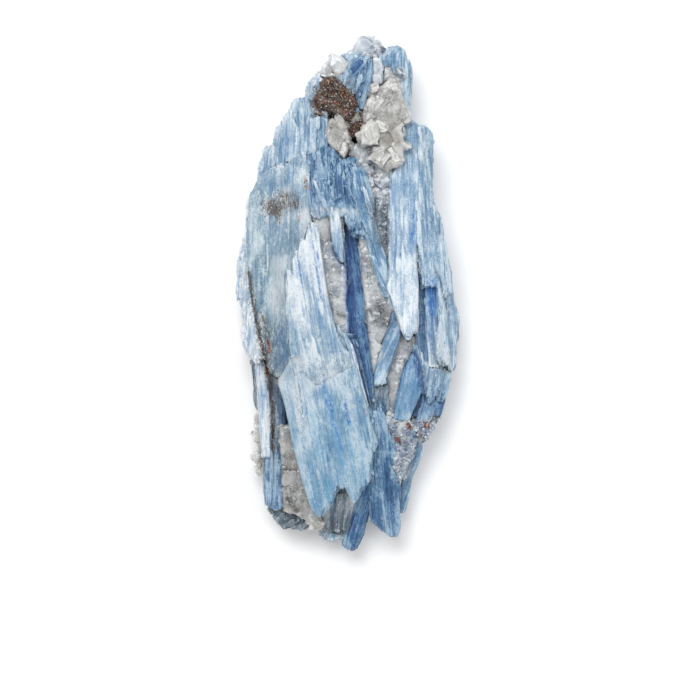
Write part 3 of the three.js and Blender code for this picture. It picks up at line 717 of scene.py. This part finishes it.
def build_chunks_tree():
    """Grows angular chunks out of a lump, in millimetres."""
    inputs = {"Chunks per lump face": 0.7, "Largest": 5.0, "Seed": 0}
    tree, value, result = geometry_tree("Broken chunks", inputs)
    largest = value["Largest"]
    density = calc(tree, "DIVIDE", value["Chunks per lump face"], times(tree, largest, largest))
    girth = times(tree, largest, random_value(tree, *CHUNK_GIRTHS, 61))
    lift = times(tree, girth, -CHUNK_DEPTH)
    points, _ = spread_over(tree, value["Geometry"], density, value["Seed"], lift)
    turn = combine(tree, *(random_value(tree, 0.0, math.tau, draw) for draw in (62, 63, 64)))
    long = times(tree, girth, random_value(tree, *CHUNK_LENGTHS, 65))
    flat = times(tree, girth, random_value(tree, *CHUNK_HEIGHTS, 66))
    size = combine(tree, long, girth, flat)
    chunks = copies_on(tree, points, chunk_forms(tree), turn, size, pick=True)
    whole = realized(tree, joined(tree, (value["Geometry"], chunks)))
    tree.links.new(whole, result.inputs[0])
    return tree


def build_broken_tree():
    """Breaks a lump, in millimetres, into tilted conchoidal facets."""
    inputs = {"Facet size": 3.4, "Facet tilt": 0.5, "Chip size": 1.3, "Chip tilt": 0.16}
    inputs.update({"Crumb size": 0.6, "Crumb tilt": 0.1, "Swell": 0.3, "Shards": 0.02})
    inputs.update({"Seed": 0.0, "Material": None})
    tree, value, result = geometry_tree("Broken lump", inputs)
    seed = value["Seed"]
    position = here(tree)
    normal = skin_normal(tree)
    total = value["Swell"]
    tone = None
    for label, shift in (("Facet", 0.0), ("Chip", 5.2), ("Crumb", 9.4)):
        size = value[label + " size"]
        place = vector(tree, "SCALE", position, calc(tree, "DIVIDE", 1.0, size))
        shift = combine(tree, seed, calc(tree, "ADD", seed, shift), shift)
        place = vector(tree, "ADD", place, shift)
        cell = add(tree, "ShaderNodeTexVoronoi", Vector=place, Scale=1.0).outputs
        away = vector(tree, "SUBTRACT", place, cell["Position"])
        lean = vector(tree, "SUBTRACT", cell["Color"], (0.5, 0.5, 0.5))
        height = calc(tree, "SUBTRACT", vector(tree, "DOT_PRODUCT", away, lean), FACET_LEVEL)
        steepness = times(tree, size, value[label + " tilt"])
        total = calc(tree, "ADD", total, times(tree, height, steepness))
        tone = tone or separate(tree, cell["Color"])[0]
    shaped = store(tree, value["Geometry"], "tone", tone)
    shaped = shifted(tree, shaped, vector(tree, "SCALE", normal, total))
    girth = random_value(tree, *SHARD_GIRTHS, 41)
    size = combine(tree, times(tree, girth, SHARD_LENGTH), girth, girth)
    shards = scatter(tree, shaped, lath_form(tree), value["Shards"], size, seed, sink=0.05)
    finish_tree(tree, joined(tree, (shaped, shards)), value["Material"], result)
    return tree


# ---------------------------------------------------------------- garnets and mica
def build_grains_tree():
    """Scatters grains over the marked parts of a skin, and leaves the skin itself out."""
    inputs = {"Mark": "tone", "Density": 0.5, "Smallest": 0.25, "Largest": 0.6}
    inputs.update({"Flatness": 1.0, "Nest edge": 0.2, "Seed": 0, "Material": None})
    tree, value, result = geometry_tree("Crust grains", inputs)
    nests = remap(tree, noise(tree, here(tree), 0.45), value["Nest edge"], 0.6)
    density = times(tree, times(tree, named(tree, value["Mark"]), value["Density"]), nests)
    ball = add(tree, "GeometryNodeMeshIcoSphere", Radius=0.5, Subdivisions=1).outputs["Mesh"]
    girth = random_value(tree, value["Smallest"], value["Largest"], 51)
    size = combine(tree, girth, girth, times(tree, girth, value["Flatness"]))
    grains = scatter(tree, value["Geometry"], ball, density, size, value["Seed"], wobble=1.2)
    finish_tree(tree, grains, value["Material"], result)
    return tree


# ---------------------------------------------------------------- making a piece
UPWARD = 0.5  # how far up a face must look to belong to a crystal's broad upper face
SPLINTER_LIFT = 0.2  # how high a splinter's middle lies over the skin, in its thickness
SPLINTER_ENDS = {"Head splinters": 0.8, "Foot splinters": 0.8}
SPLINTER_REACH = 10.0  # over what length a splinter's tones change, in millimetres
BLADE_SEEDS = 2.37  # the step from one blade's seed to the next
LUMP_SEEDS = 3.11  # the step from one lump's seed to the next


def linked(name, data):
    """An object in the scene that shows a mesh, a lamp or a camera."""
    piece = bpy.data.objects.new(name, data)
    bpy.context.collection.objects.link(piece)
    return piece


def run_tree(work, tree, values):
    """Adds a node tree to an object as a modifier, with its inputs set."""
    modifier = work.modifiers.new(tree.name, "NODES")
    modifier.node_group = tree
    for item in tree.interface.items_tree:
        if item.item_type == "SOCKET" and item.in_out == "INPUT" and item.name in values:
            modifier[item.identifier] = values[item.name]


def evaluated_mesh(work):
    """The mesh that an object's modifiers make. The object itself is removed."""
    graph = bpy.context.evaluated_depsgraph_get()
    graph.update()
    mesh = bpy.data.meshes.new_from_object(work.evaluated_get(graph))
    bpy.data.objects.remove(work)
    return mesh


def grain_frame(mesh, lean):
    """The frame of a crystal: X along its grain, Z out of its broad upper face."""
    facing = Vector()
    for face in mesh.polygons:
        if face.normal.z > UPWARD:
            facing += face.normal * face.area
    z_axis = facing.normalized()
    turn = math.radians(lean)
    grain = Vector((math.sin(turn), math.cos(turn), 0.0))
    x_axis = (grain - z_axis * grain.dot(z_axis)).normalized()
    centre = sum((vertex.co for vertex in mesh.vertices), Vector()) / len(mesh.vertices)
    return frame_at(centre, x_axis, z_axis.cross(x_axis), z_axis)


def frame_at(centre, *axes):
    """A frame in millimetres, from its centre and its three axes."""
    turned = Matrix(axes).transposed().to_4x4()
    return Matrix.Translation(centre) @ turned @ Matrix.Scale(MM, 4)


def merged_copy(node):
    """A copy of a node's solid, with its triangles joined into one closed skin."""
    mesh = bpy.data.objects[node].data.copy()
    skin = bmesh.new()
    skin.from_mesh(mesh)
    bmesh.ops.remove_doubles(skin, verts=skin.verts, dist=1e-6)
    skin.to_mesh(mesh)
    skin.free()
    mesh.materials.clear()
    return mesh


def shaped_mesh(mesh, place, voxel, squeeze, tree, values, chunks=None):
    """Runs a tree over a fine skin of a closed mesh, whose own frame is the place given."""
    mesh.transform(Matrix.Diagonal((1.0 / squeeze, 1.0, 1.0, 1.0)) @ place.inverted())
    work = linked("work", mesh)
    if chunks:
        run_tree(work, *chunks)
    remesh = work.modifiers.new("Fine skin", "REMESH")
    remesh.mode = "VOXEL"
    remesh.voxel_size = voxel
    run_tree(work, tree, values)
    shaped = evaluated_mesh(work)
    shaped.transform(place)
    settle(shaped)
    paint_marks(shaped)
    shaped.polygons.foreach_set("use_smooth", [True] * len(shaped.polygons))
    shaped.set_sharp_from_angle(angle=math.radians(CREASE))
    return shaped


def shaped_piece(node, tree, lean, squeeze, values, chunks=None):
    """The finished piece that takes the place of a node."""
    mesh = merged_copy(node)
    voxel = BACK_VOXEL if node.startswith("back_") else VOXEL
    shaped = shaped_mesh(mesh, grain_frame(mesh, lean), voxel, squeeze, tree, values, chunks)
    shaped.name = node + "_skin"
    return linked(node + "_crystal", shaped)


def splinter_piece(name, splinter, crystals, tree, material):
    """A splinter laid on the crystals, from its head to its foot."""
    _, width, thickness, *ends = splinter
    lift = SPLINTER_LIFT * thickness * MM
    spots = [at_share(*end) for end in ends]
    head, foot = (Vector((*spot, height_at(crystals, spot) + lift)) for spot in spots)
    x_axis = (head - foot).normalized()
    y_axis = Vector((0.0, 0.0, 1.0)).cross(x_axis).normalized()
    place = frame_at(0.5 * (head + foot), x_axis, y_axis, x_axis.cross(y_axis))
    long = (head - foot).length / MM
    block = bmesh.new()
    bmesh.ops.create_cube(block, size=1.0)
    for corner in block.verts:
        corner.co.x += LATH_SLANT * corner.co.y
    mesh = bpy.data.meshes.new(name)
    block.to_mesh(mesh)
    block.free()
    mesh.transform(place @ Matrix.Diagonal((long, width, thickness, 1.0)))
    values = {**style_inputs("splinter"), **SPLINTER_ENDS, "Seed": long, "Material": material}
    return linked(name, shaped_mesh(mesh, place, SPLINTER_VOXEL, STRETCH, tree, values))


def grains_piece(name, hosts, tree, values):
    """Grains over several skins, as one piece."""
    skin = bmesh.new()
    for host in hosts:
        skin.from_mesh(host.data)
    mesh = bpy.data.meshes.new(name + "_host")
    skin.to_mesh(mesh)
    skin.free()
    mesh.transform(Matrix.Scale(1 / MM, 4))
    work = linked(name + "_work", mesh)
    run_tree(work, tree, values)
    grains = evaluated_mesh(work)
    grains.transform(Matrix.Scale(MM, 4))
    settle(grains)
    return linked(name, grains)


def bvh_of(piece):
    mesh = piece.data
    return BVHTree.FromPolygons(
        [vertex.co for vertex in mesh.vertices], [face.vertices for face in mesh.polygons]
    )


def height_at(crystals, spot):
    """The height of the crystals' top at a place over the footprint."""
    start = Vector((*spot, 1.0))
    hits = (crystal.ray_cast(start, Vector((0.0, 0.0, -1.0)))[0] for crystal in crystals)
    return max((hit.z for hit in hits if hit), default=0.0)


def points_of(mesh):
    points = np.empty(len(mesh.vertices) * 3)
    mesh.vertices.foreach_get("co", points)
    return points.reshape(-1, 3)


def settle(mesh):
    """Keeps a skin above the surface it lies on, and close to the solids' outer box."""
    low, high = (np.array(corner) for corner in CAD_BOX)
    room = OVERHANG * MM
    points = np.clip(points_of(mesh), low - (room, room, 0.0), high + (room, room, 0.4 * room))
    mesh.vertices.foreach_set("co", points.ravel())


def at_share(across, along):
    """A place over the cluster's footprint, from its shares of the width and the length."""
    low, high = CAD_BOX
    return np.array([low[0] + across * (high[0] - low[0]), low[1] + along * (high[1] - low[1])])


def paint_marks(mesh):
    """Gives each point of a skin its strength of every kind of mark."""
    plan = points_of(mesh)[:, :2]
    for kind, marks in MARKS.items():
        strength = np.zeros(len(plan))
        for power, width, *line in marks:
            stops = [at_share(*stop) for stop in line]
            for start, end in zip(stops, stops[1:]):
                run = end - start
                share = np.clip((plan - start) @ run / (run @ run), 0.0, 1.0)
                gap = np.linalg.norm(plan - start - share[:, None] * run, axis=1)
                near = power * np.exp(-((gap / (width * MM)) ** 2))
                strength = np.maximum(strength, near)
        layer = mesh.attributes.new(kind, "FLOAT", "POINT")
        layer.data.foreach_set("value", strength)


# ---------------------------------------------------------------- materials
# How much the tones of the laths and each pattern lighten or darken a blade.
LOWEST_LEVEL = -0.52  # a blade's level before any of them
TONE_WEIGHTS = {"tone": 0.26, "fibre_tone": 0.22, "fray": 0.12}
PATTERN_WEIGHTS = {
    "Patch": 0.4,
    "Broad": 0.28,
    "Line": 0.3,
    "Fine": 0.2,
    "Mottle": 0.3,
    "Crumb": 0.26,
    "Scratch": 0.25,
    "Parting": -0.2,
}
MOTTLES = ("Patch", "Mottle", "Crumb")
MEAN_LEVEL = 0.6  # the middle of a blade's tones, from deep to pale
VEINING = 0.75  # how strongly the veins and the frost cover a blade's own colour
FROSTING = 0.6
KYANITE_IOR = 1.6
QUARTZ_IOR = 1.54
BUMP_DEPTH = 0.2 * MM


def new_material(name):
    material = bpy.data.materials.new(name)
    material.use_nodes = True
    tree = material.node_tree
    return material, tree, tree.nodes["Principled BSDF"]


def mix_colour(tree, factor, a, b):
    node = add(tree, "ShaderNodeMix", {"data_type": "RGBA"})
    plug(tree, node, 0, factor)
    for i, value in ((6, a), (7, b)):
        if not isinstance(value, bpy.types.NodeSocket):
            value = (*value, 1.0)
        plug(tree, node, i, value)
    return node.outputs[2]


def attribute(tree, name, output="Fac"):
    return add(tree, "ShaderNodeAttribute", {"attribute_name": name}).outputs[output]


def object_place(tree):
    return add(tree, "ShaderNodeTexCoord").outputs["Object"]


def finish_group(group, masks):
    """Gives a group an output for each of its masks."""
    for label in masks:
        group.interface.new_socket(label, in_out="OUTPUT", socket_type="NodeSocketFloat")
    result = group.nodes.new("NodeGroupOutput")
    for label, mask in masks.items():
        group.links.new(mask, result.inputs[label])
    return group


def build_streaks_group():
    """Patches, streaks, scratches and veins along the grain, and fine partings across it."""
    group = bpy.data.node_groups.new("Grain streaks", "ShaderNodeTree")
    grain = attribute(group, "grain", "Vector")

    def streaks(long, wide, detail, rough=0.6):
        place = vector(group, "DIVIDE", grain, (long, wide, wide))
        return noise(group, place, 1.0, detail, rough)

    patch = streaks(8.0, 3.6, 5.0)
    mottle = streaks(1.4, 0.65, 5.0, 0.75)
    fine = remap(group, streaks(5.0, 0.22, 3.0), 0.3, 0.7)
    line = remap(group, streaks(9.0, 0.5, 2.0), 0.38, 0.62)
    crumbs = streaks(0.55, 0.4, 3.0, 0.7)
    masks = {
        "Patch": remap(group, patch, 0.38, 0.62),
        "Broad": remap(group, streaks(14.0, 1.1, 4.0), 0.34, 0.66),
        "Line": line,
        "Fine": fine,
        "Mottle": remap(group, mottle, 0.34, 0.66),
        "Frost": remap(group, weighted(group, patch, (crumbs, 0.55)), 0.83, 0.9),
        "Crumb": remap(group, crumbs, 0.32, 0.68),
        "Scratch": remap(group, streaks(5.0, 0.14, 1.0), 0.6, 0.7),
        "Vein": remap(group, streaks(11.0, 0.42, 3.0), 0.6, 0.67),
        "Parting": remap(group, streaks(0.28, 2.2, 2.0), 0.58, 0.68),
        "Height": weighted(group, calc(group, "ADD", fine, line), (mottle, 1.2)),
    }
    return finish_group(group, masks)


def build_edges_and_shade_group():
    """Masks of the raised edges, lightened partly for their own frayed pallor and partly as a
    painted highlight, and of the creases, darkened as painted shade.
    """
    group = bpy.data.node_groups.new("Edges and painted shade", "ShaderNodeTree")
    point = add(group, "ShaderNodeNewGeometry").outputs["Pointiness"]
    edge = remap(group, point, 0.515, 0.60)
    painted_crease_shade = remap(group, point, 0.485, 0.40)
    return finish_group(group, {"Edge_and_highlight": edge, "Painted_shade": painted_crease_shade})


def group_outputs(tree, group):
    return add(tree, "ShaderNodeGroup", {"node_tree": group}).outputs


def marked(tree, colour, broken):
    """Lays every kind of mark over a colour."""
    for kind, mark_colour in MARK_COLOURS.items():
        mark = times(tree, attribute(tree, kind), broken)
        mark = calc(tree, "MINIMUM", mark, MOST_RUSTED if kind == "rust" else MOST_MARKED)
        colour = mix_colour(tree, mark, colour, linear(mark_colour))
    return colour


def set_surface(tree, shader, colour, roughness):
    tree.links.new(colour, shader.inputs["Base Color"])
    tree.links.new(roughness, shader.inputs["Roughness"])


def add_bump(tree, shader, height, strength):
    bump = add(tree, "ShaderNodeBump", Height=height, Strength=strength, Distance=BUMP_DEPTH)
    tree.links.new(bump.outputs["Normal"], shader.inputs["Normal"])


def palette_colour(tree, palette, factor):
    """The colour of a tone, from the deepest of a palette to its palest."""
    deep, body, pale, _ = (linear(colour) for colour in PALETTES[palette])
    ramp = add(tree, "ShaderNodeValToRGB", Fac=factor)
    stops = ramp.color_ramp.elements
    stops[0].position, stops[0].color = 0.04, (*deep, 1.0)
    stops[1].position, stops[1].color = 0.96, (*pale, 1.0)
    stops.new(0.5).color = (*body, 1.0)
    return ramp.outputs["Color"]


def kyanite_material(name, blade, reach, groups):
    """Kyanite, whose palette changes from head to foot over its length, in millimetres."""
    material, tree, shader = new_material(name)
    marks = group_outputs(tree, groups["streaks"])
    edges_and_shade = group_outputs(tree, groups["edges_and_shade"])
    weights = [(attribute(tree, tone), weight) for tone, weight in TONE_WEIGHTS.items()]
    for label, weight in PATTERN_WEIGHTS.items():
        weight *= 1 + 0.4 * blade.soft if label in MOTTLES else 1 - 0.65 * blade.soft
        weights.append((marks[label], weight))
    # Raised edges are lightened, partly for their own frayed pallor and partly as a painted
    # highlight, and the creases are darkened as painted shade.
    level = weighted(
        tree,
        LOWEST_LEVEL,
        *weights,
        (edges_and_shade["Edge_and_highlight"], 0.3),
        (edges_and_shade["Painted_shade"], -0.15),
    )
    level = calc(tree, "MULTIPLY_ADD", level, blade.contrast, MEAN_LEVEL * (1 - blade.contrast))
    along = separate(tree, attribute(tree, "grain", "Vector"))[0]
    share = remap(tree, along, 0.5 * reach, -0.5 * reach)

    def over_length(tone):
        """One tone of the head's palette, which turns into the foot's."""
        ends = (linear(PALETTES[palette][tone]) for palette in (blade.head, blade.foot))
        return mix_colour(tree, share, *ends)

    ends = (palette_colour(tree, palette, level) for palette in (blade.head, blade.foot))
    colour = mix_colour(tree, share, *ends)
    colour = mix_colour(tree, times(tree, marks["Vein"], VEINING), colour, over_length(3))
    colour = mix_colour(tree, times(tree, marks["Frost"], FROSTING), colour, over_length(2))
    broken = weighted(tree, marks["Mottle"], (marks["Crumb"], 0.5))
    colour = marked(tree, colour, remap(tree, broken, 0.35, 1.1, 1.3, 0.2))
    set_surface(tree, shader, colour, remap(tree, marks["Fine"], 0.0, 1.0, 0.3, 0.54))
    shader.inputs["IOR"].default_value = KYANITE_IOR
    add_bump(tree, shader, marks["Height"], 0.5)
    return material


def quartz_material(name, clear, cloudy, glow, gloss, edges_and_shade_group):
    """Cloudy quartz: pale veils and clearer grey places, with glassy broken faces."""
    material, tree, shader = new_material(name)
    place = object_place(tree)
    edges_and_shade = group_outputs(tree, edges_and_shade_group)

    def clouds(size, detail, rough):
        return noise(tree, place, 1.0 / (size * MM), detail, rough)

    veil = remap(tree, clouds(3.4, 6.0, 0.6), 0.36, 0.64)
    crumbs = remap(tree, clouds(0.7, 4.0, 0.7), 0.3, 0.7)
    sparkle = remap(tree, clouds(0.45, 1.0, 0.5), 0.64, 0.7)
    bend = vector(tree, "SCALE", noise(tree, place, 400.0, output="Color"), 0.0016)
    crack = add(
        tree,
        "ShaderNodeTexVoronoi",
        {"feature": "DISTANCE_TO_EDGE"},
        Vector=vector(tree, "ADD", place, bend),
        Scale=1.0 / (2.2 * MM),
    ).outputs["Distance"]
    crack = times(tree, remap(tree, crack, 0.05, 0.0), remap(tree, veil, 0.2, 0.8))
    level = weighted(tree, times(tree, attribute(tree, "tone"), 0.25), (veil, 0.6))
    # Facet edges are lightened, partly for their own pallor and partly as a painted highlight,
    # and the creases are darkened as painted shade.
    level = weighted(
        tree,
        calc(tree, "SUBTRACT", level, 0.06),
        (crumbs, 0.26),
        (sparkle, 0.35),
        (crack, 0.4),
        (edges_and_shade["Edge_and_highlight"], 0.45),
        (edges_and_shade["Painted_shade"], -0.3),
    )
    colour = mix_colour(tree, remap(tree, level, 0.0, 1.0), linear(clear), linear(cloudy))
    smoke = times(tree, remap(tree, clouds(5.0, 3.0, 0.6), 0.52, 0.62), SMOKE)
    colour = mix_colour(tree, smoke, colour, linear(SMOKE_COLOUR))
    colour = marked(tree, colour, remap(tree, crumbs, 0.0, 1.0, 0.95, 0.4))
    set_surface(tree, shader, colour, remap(tree, veil, 0.0, 1.0, 0.06, 0.26))
    shader.inputs["IOR"].default_value = QUARTZ_IOR
    shader.inputs["Subsurface Weight"].default_value = 1.0
    shader.inputs["Subsurface Radius"].default_value = (1.0, 1.0, 1.0)
    shader.inputs["Subsurface Scale"].default_value = glow * MM
    shader.inputs["Coat Weight"].default_value = gloss
    shader.inputs["Coat Roughness"].default_value = 0.04
    add_bump(tree, shader, crumbs, 0.2)
    return material


def grain_material(name, dark, bright, roughness):
    """Garnet, mica or crumbs: each grain has its own tone between two colours."""
    material, tree, shader = new_material(name)
    fleck = noise(tree, object_place(tree), 1500.0, 3.0)
    tone = calc(tree, "MULTIPLY_ADD", attribute(tree, "tone"), 0.8, -0.3)
    level = remap(tree, weighted(tree, tone, (fleck, 0.8)), 0.0, 1.0)
    colour = mix_colour(tree, level, linear(dark), linear(bright))
    set_surface(tree, shader, colour, remap(tree, fleck, 0.3, 0.7, roughness, roughness + 0.2))
    return material


# ---------------------------------------------------------------- stage
FLOOR_REACH = 1.6  # from the middle to each side of the floor, in metres
FLOOR_GLOW = 0.1
SKY_GLOW = 0.56
WHITE = (1.0, 1.0, 1.0, 1.0)
CAMERA_PLACE = (0.25 * MM, -13.7 * MM, 0.70)
SENSOR = 36.0  # the width of the camera's sensor, and its focal length, in millimetres
FOCAL_LENGTH = 144.0
# Each lamp with its place and its width in metres, and its power in watts.
LAMPS = (
    ("key_softbox", (-0.16, 0.36, 0.8), 0.45, 5.0),
    ("side_softbox", (0.5, -0.1, 0.65), 0.4, 1.0),
)


def build_stage():
    floor_mesh = bpy.data.meshes.new("floor")
    corners = ((-1, -1), (1, -1), (1, 1), (-1, 1))
    points = [(x * FLOOR_REACH, y * FLOOR_REACH, 0) for x, y in corners]
    floor_mesh.from_pydata(points, [], [(0, 1, 2, 3)])
    floor = linked("floor", floor_mesh)
    material, _, shader = new_material("white_sweep")
    shader.inputs["Base Color"].default_value = (0.92, 0.92, 0.92, 1.0)
    shader.inputs["Roughness"].default_value = 0.9
    shader.inputs["Specular IOR Level"].default_value = 0.0
    shader.inputs["Emission Color"].default_value = WHITE
    shader.inputs["Emission Strength"].default_value = FLOOR_GLOW
    floor_mesh.materials.append(material)

    world = bpy.data.worlds.new("studio")
    world.use_nodes = True
    backdrop = world.node_tree.nodes["Background"]
    backdrop.inputs["Color"].default_value = WHITE
    backdrop.inputs["Strength"].default_value = SKY_GLOW
    bpy.context.scene.world = world
    for name, place, size, power in LAMPS:
        light = bpy.data.lights.new(name, "AREA")
        light.size = size
        light.energy = power
        lamp = linked(name, light)
        lamp.location = place
        lamp.rotation_euler = (-Vector(place)).to_track_quat("-Z", "Y").to_euler()

    lens = bpy.data.cameras.new("overhead")
    lens.sensor_width = SENSOR
    lens.lens = FOCAL_LENGTH
    camera = linked("overhead", lens)
    camera.location = CAMERA_PLACE
    bpy.context.scene.camera = camera
    bpy.context.scene.view_settings.view_transform = "Standard"


# ---------------------------------------------------------------- build
def blade_pieces(cleaved, groups):
    """The kyanite blades, by node."""
    pieces = {}
    for number, (node, blade) in enumerate(BLADES.items()):
        low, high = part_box(node)
        reach = (high[1] - low[1]) / MM
        values = {
            **style_inputs(blade.style),
            "Head splinters": blade.ends[0],
            "Foot splinters": blade.ends[1],
            "Seed": number * BLADE_SEEDS,
            "Foot dip": FOOT_DIPS.get(node, 0.0),
            "Material": kyanite_material(node + "_kyanite", blade, reach, groups),
        }
        pieces[node] = shaped_piece(node, cleaved, blade.lean, STRETCH, values)
    return pieces


def lump_pieces(edges_and_shade_group):
    """The lumps of quartz, the mica seam and the garnet crust, by node."""
    chunks = build_chunks_tree()
    broken = build_broken_tree()
    quartz = {sort: quartz_material(*look, edges_and_shade_group) for sort, look in QUARTZ_SORTS.items()}
    pieces = {}
    for number, (node, (sort, chunk_size, tilt)) in enumerate(LUMPS.items()):
        growth = (chunks, {"Largest": chunk_size, "Seed": number}) if chunk_size else None
        values = {
            **(COARSE_FORM if sort in COARSE_SORTS else {}),
            "Facet tilt": tilt,
            "Swell": SWELLS.get(node, SWELL),
            "Seed": number * LUMP_SEEDS,
            "Material": quartz[sort],
        }
        pieces[node] = shaped_piece(node, broken, 0, 1.0, values, growth)
    return pieces


def lay_splinters(pieces, cleaved, groups):
    crystals = [bvh_of(piece) for piece in pieces.values()]
    for number, splinter in enumerate(SPLINTERS, 1):
        palette = splinter[0]
        name = f"{palette}_splinter_{number:02d}"
        look = Blade(palette, palette, 0)
        material = kyanite_material(name + "_kyanite", look, SPLINTER_REACH, groups)
        piece = splinter_piece(name, splinter, crystals, cleaved, material)
        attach(piece, "root")


def strew_grains(pieces):
    materials = {sort: grain_material(*look) for sort, look in GRAIN_SORTS.items()}
    tree = build_grains_tree()
    for name, (nodes, sort, density, seed, values) in GRAINS.items():
        hosts = [pieces[node] for node in nodes]
        values = {**values, "Density": density, "Seed": seed, "Material": materials[sort]}
        piece = grains_piece(name, hosts, tree, values)
        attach(piece, "root")


def main():
    build_stage()
    cleaved = build_cleaved_tree()
    groups = {"streaks": build_streaks_group(), "edges_and_shade": build_edges_and_shade_group()}
    pieces = {**blade_pieces(cleaved, groups), **lump_pieces(groups["edges_and_shade"])}
    lay_splinters(pieces, cleaved, groups)
    strew_grains(pieces)
    for node, piece in pieces.items():
        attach(piece, "root")
        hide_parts(node)


main()
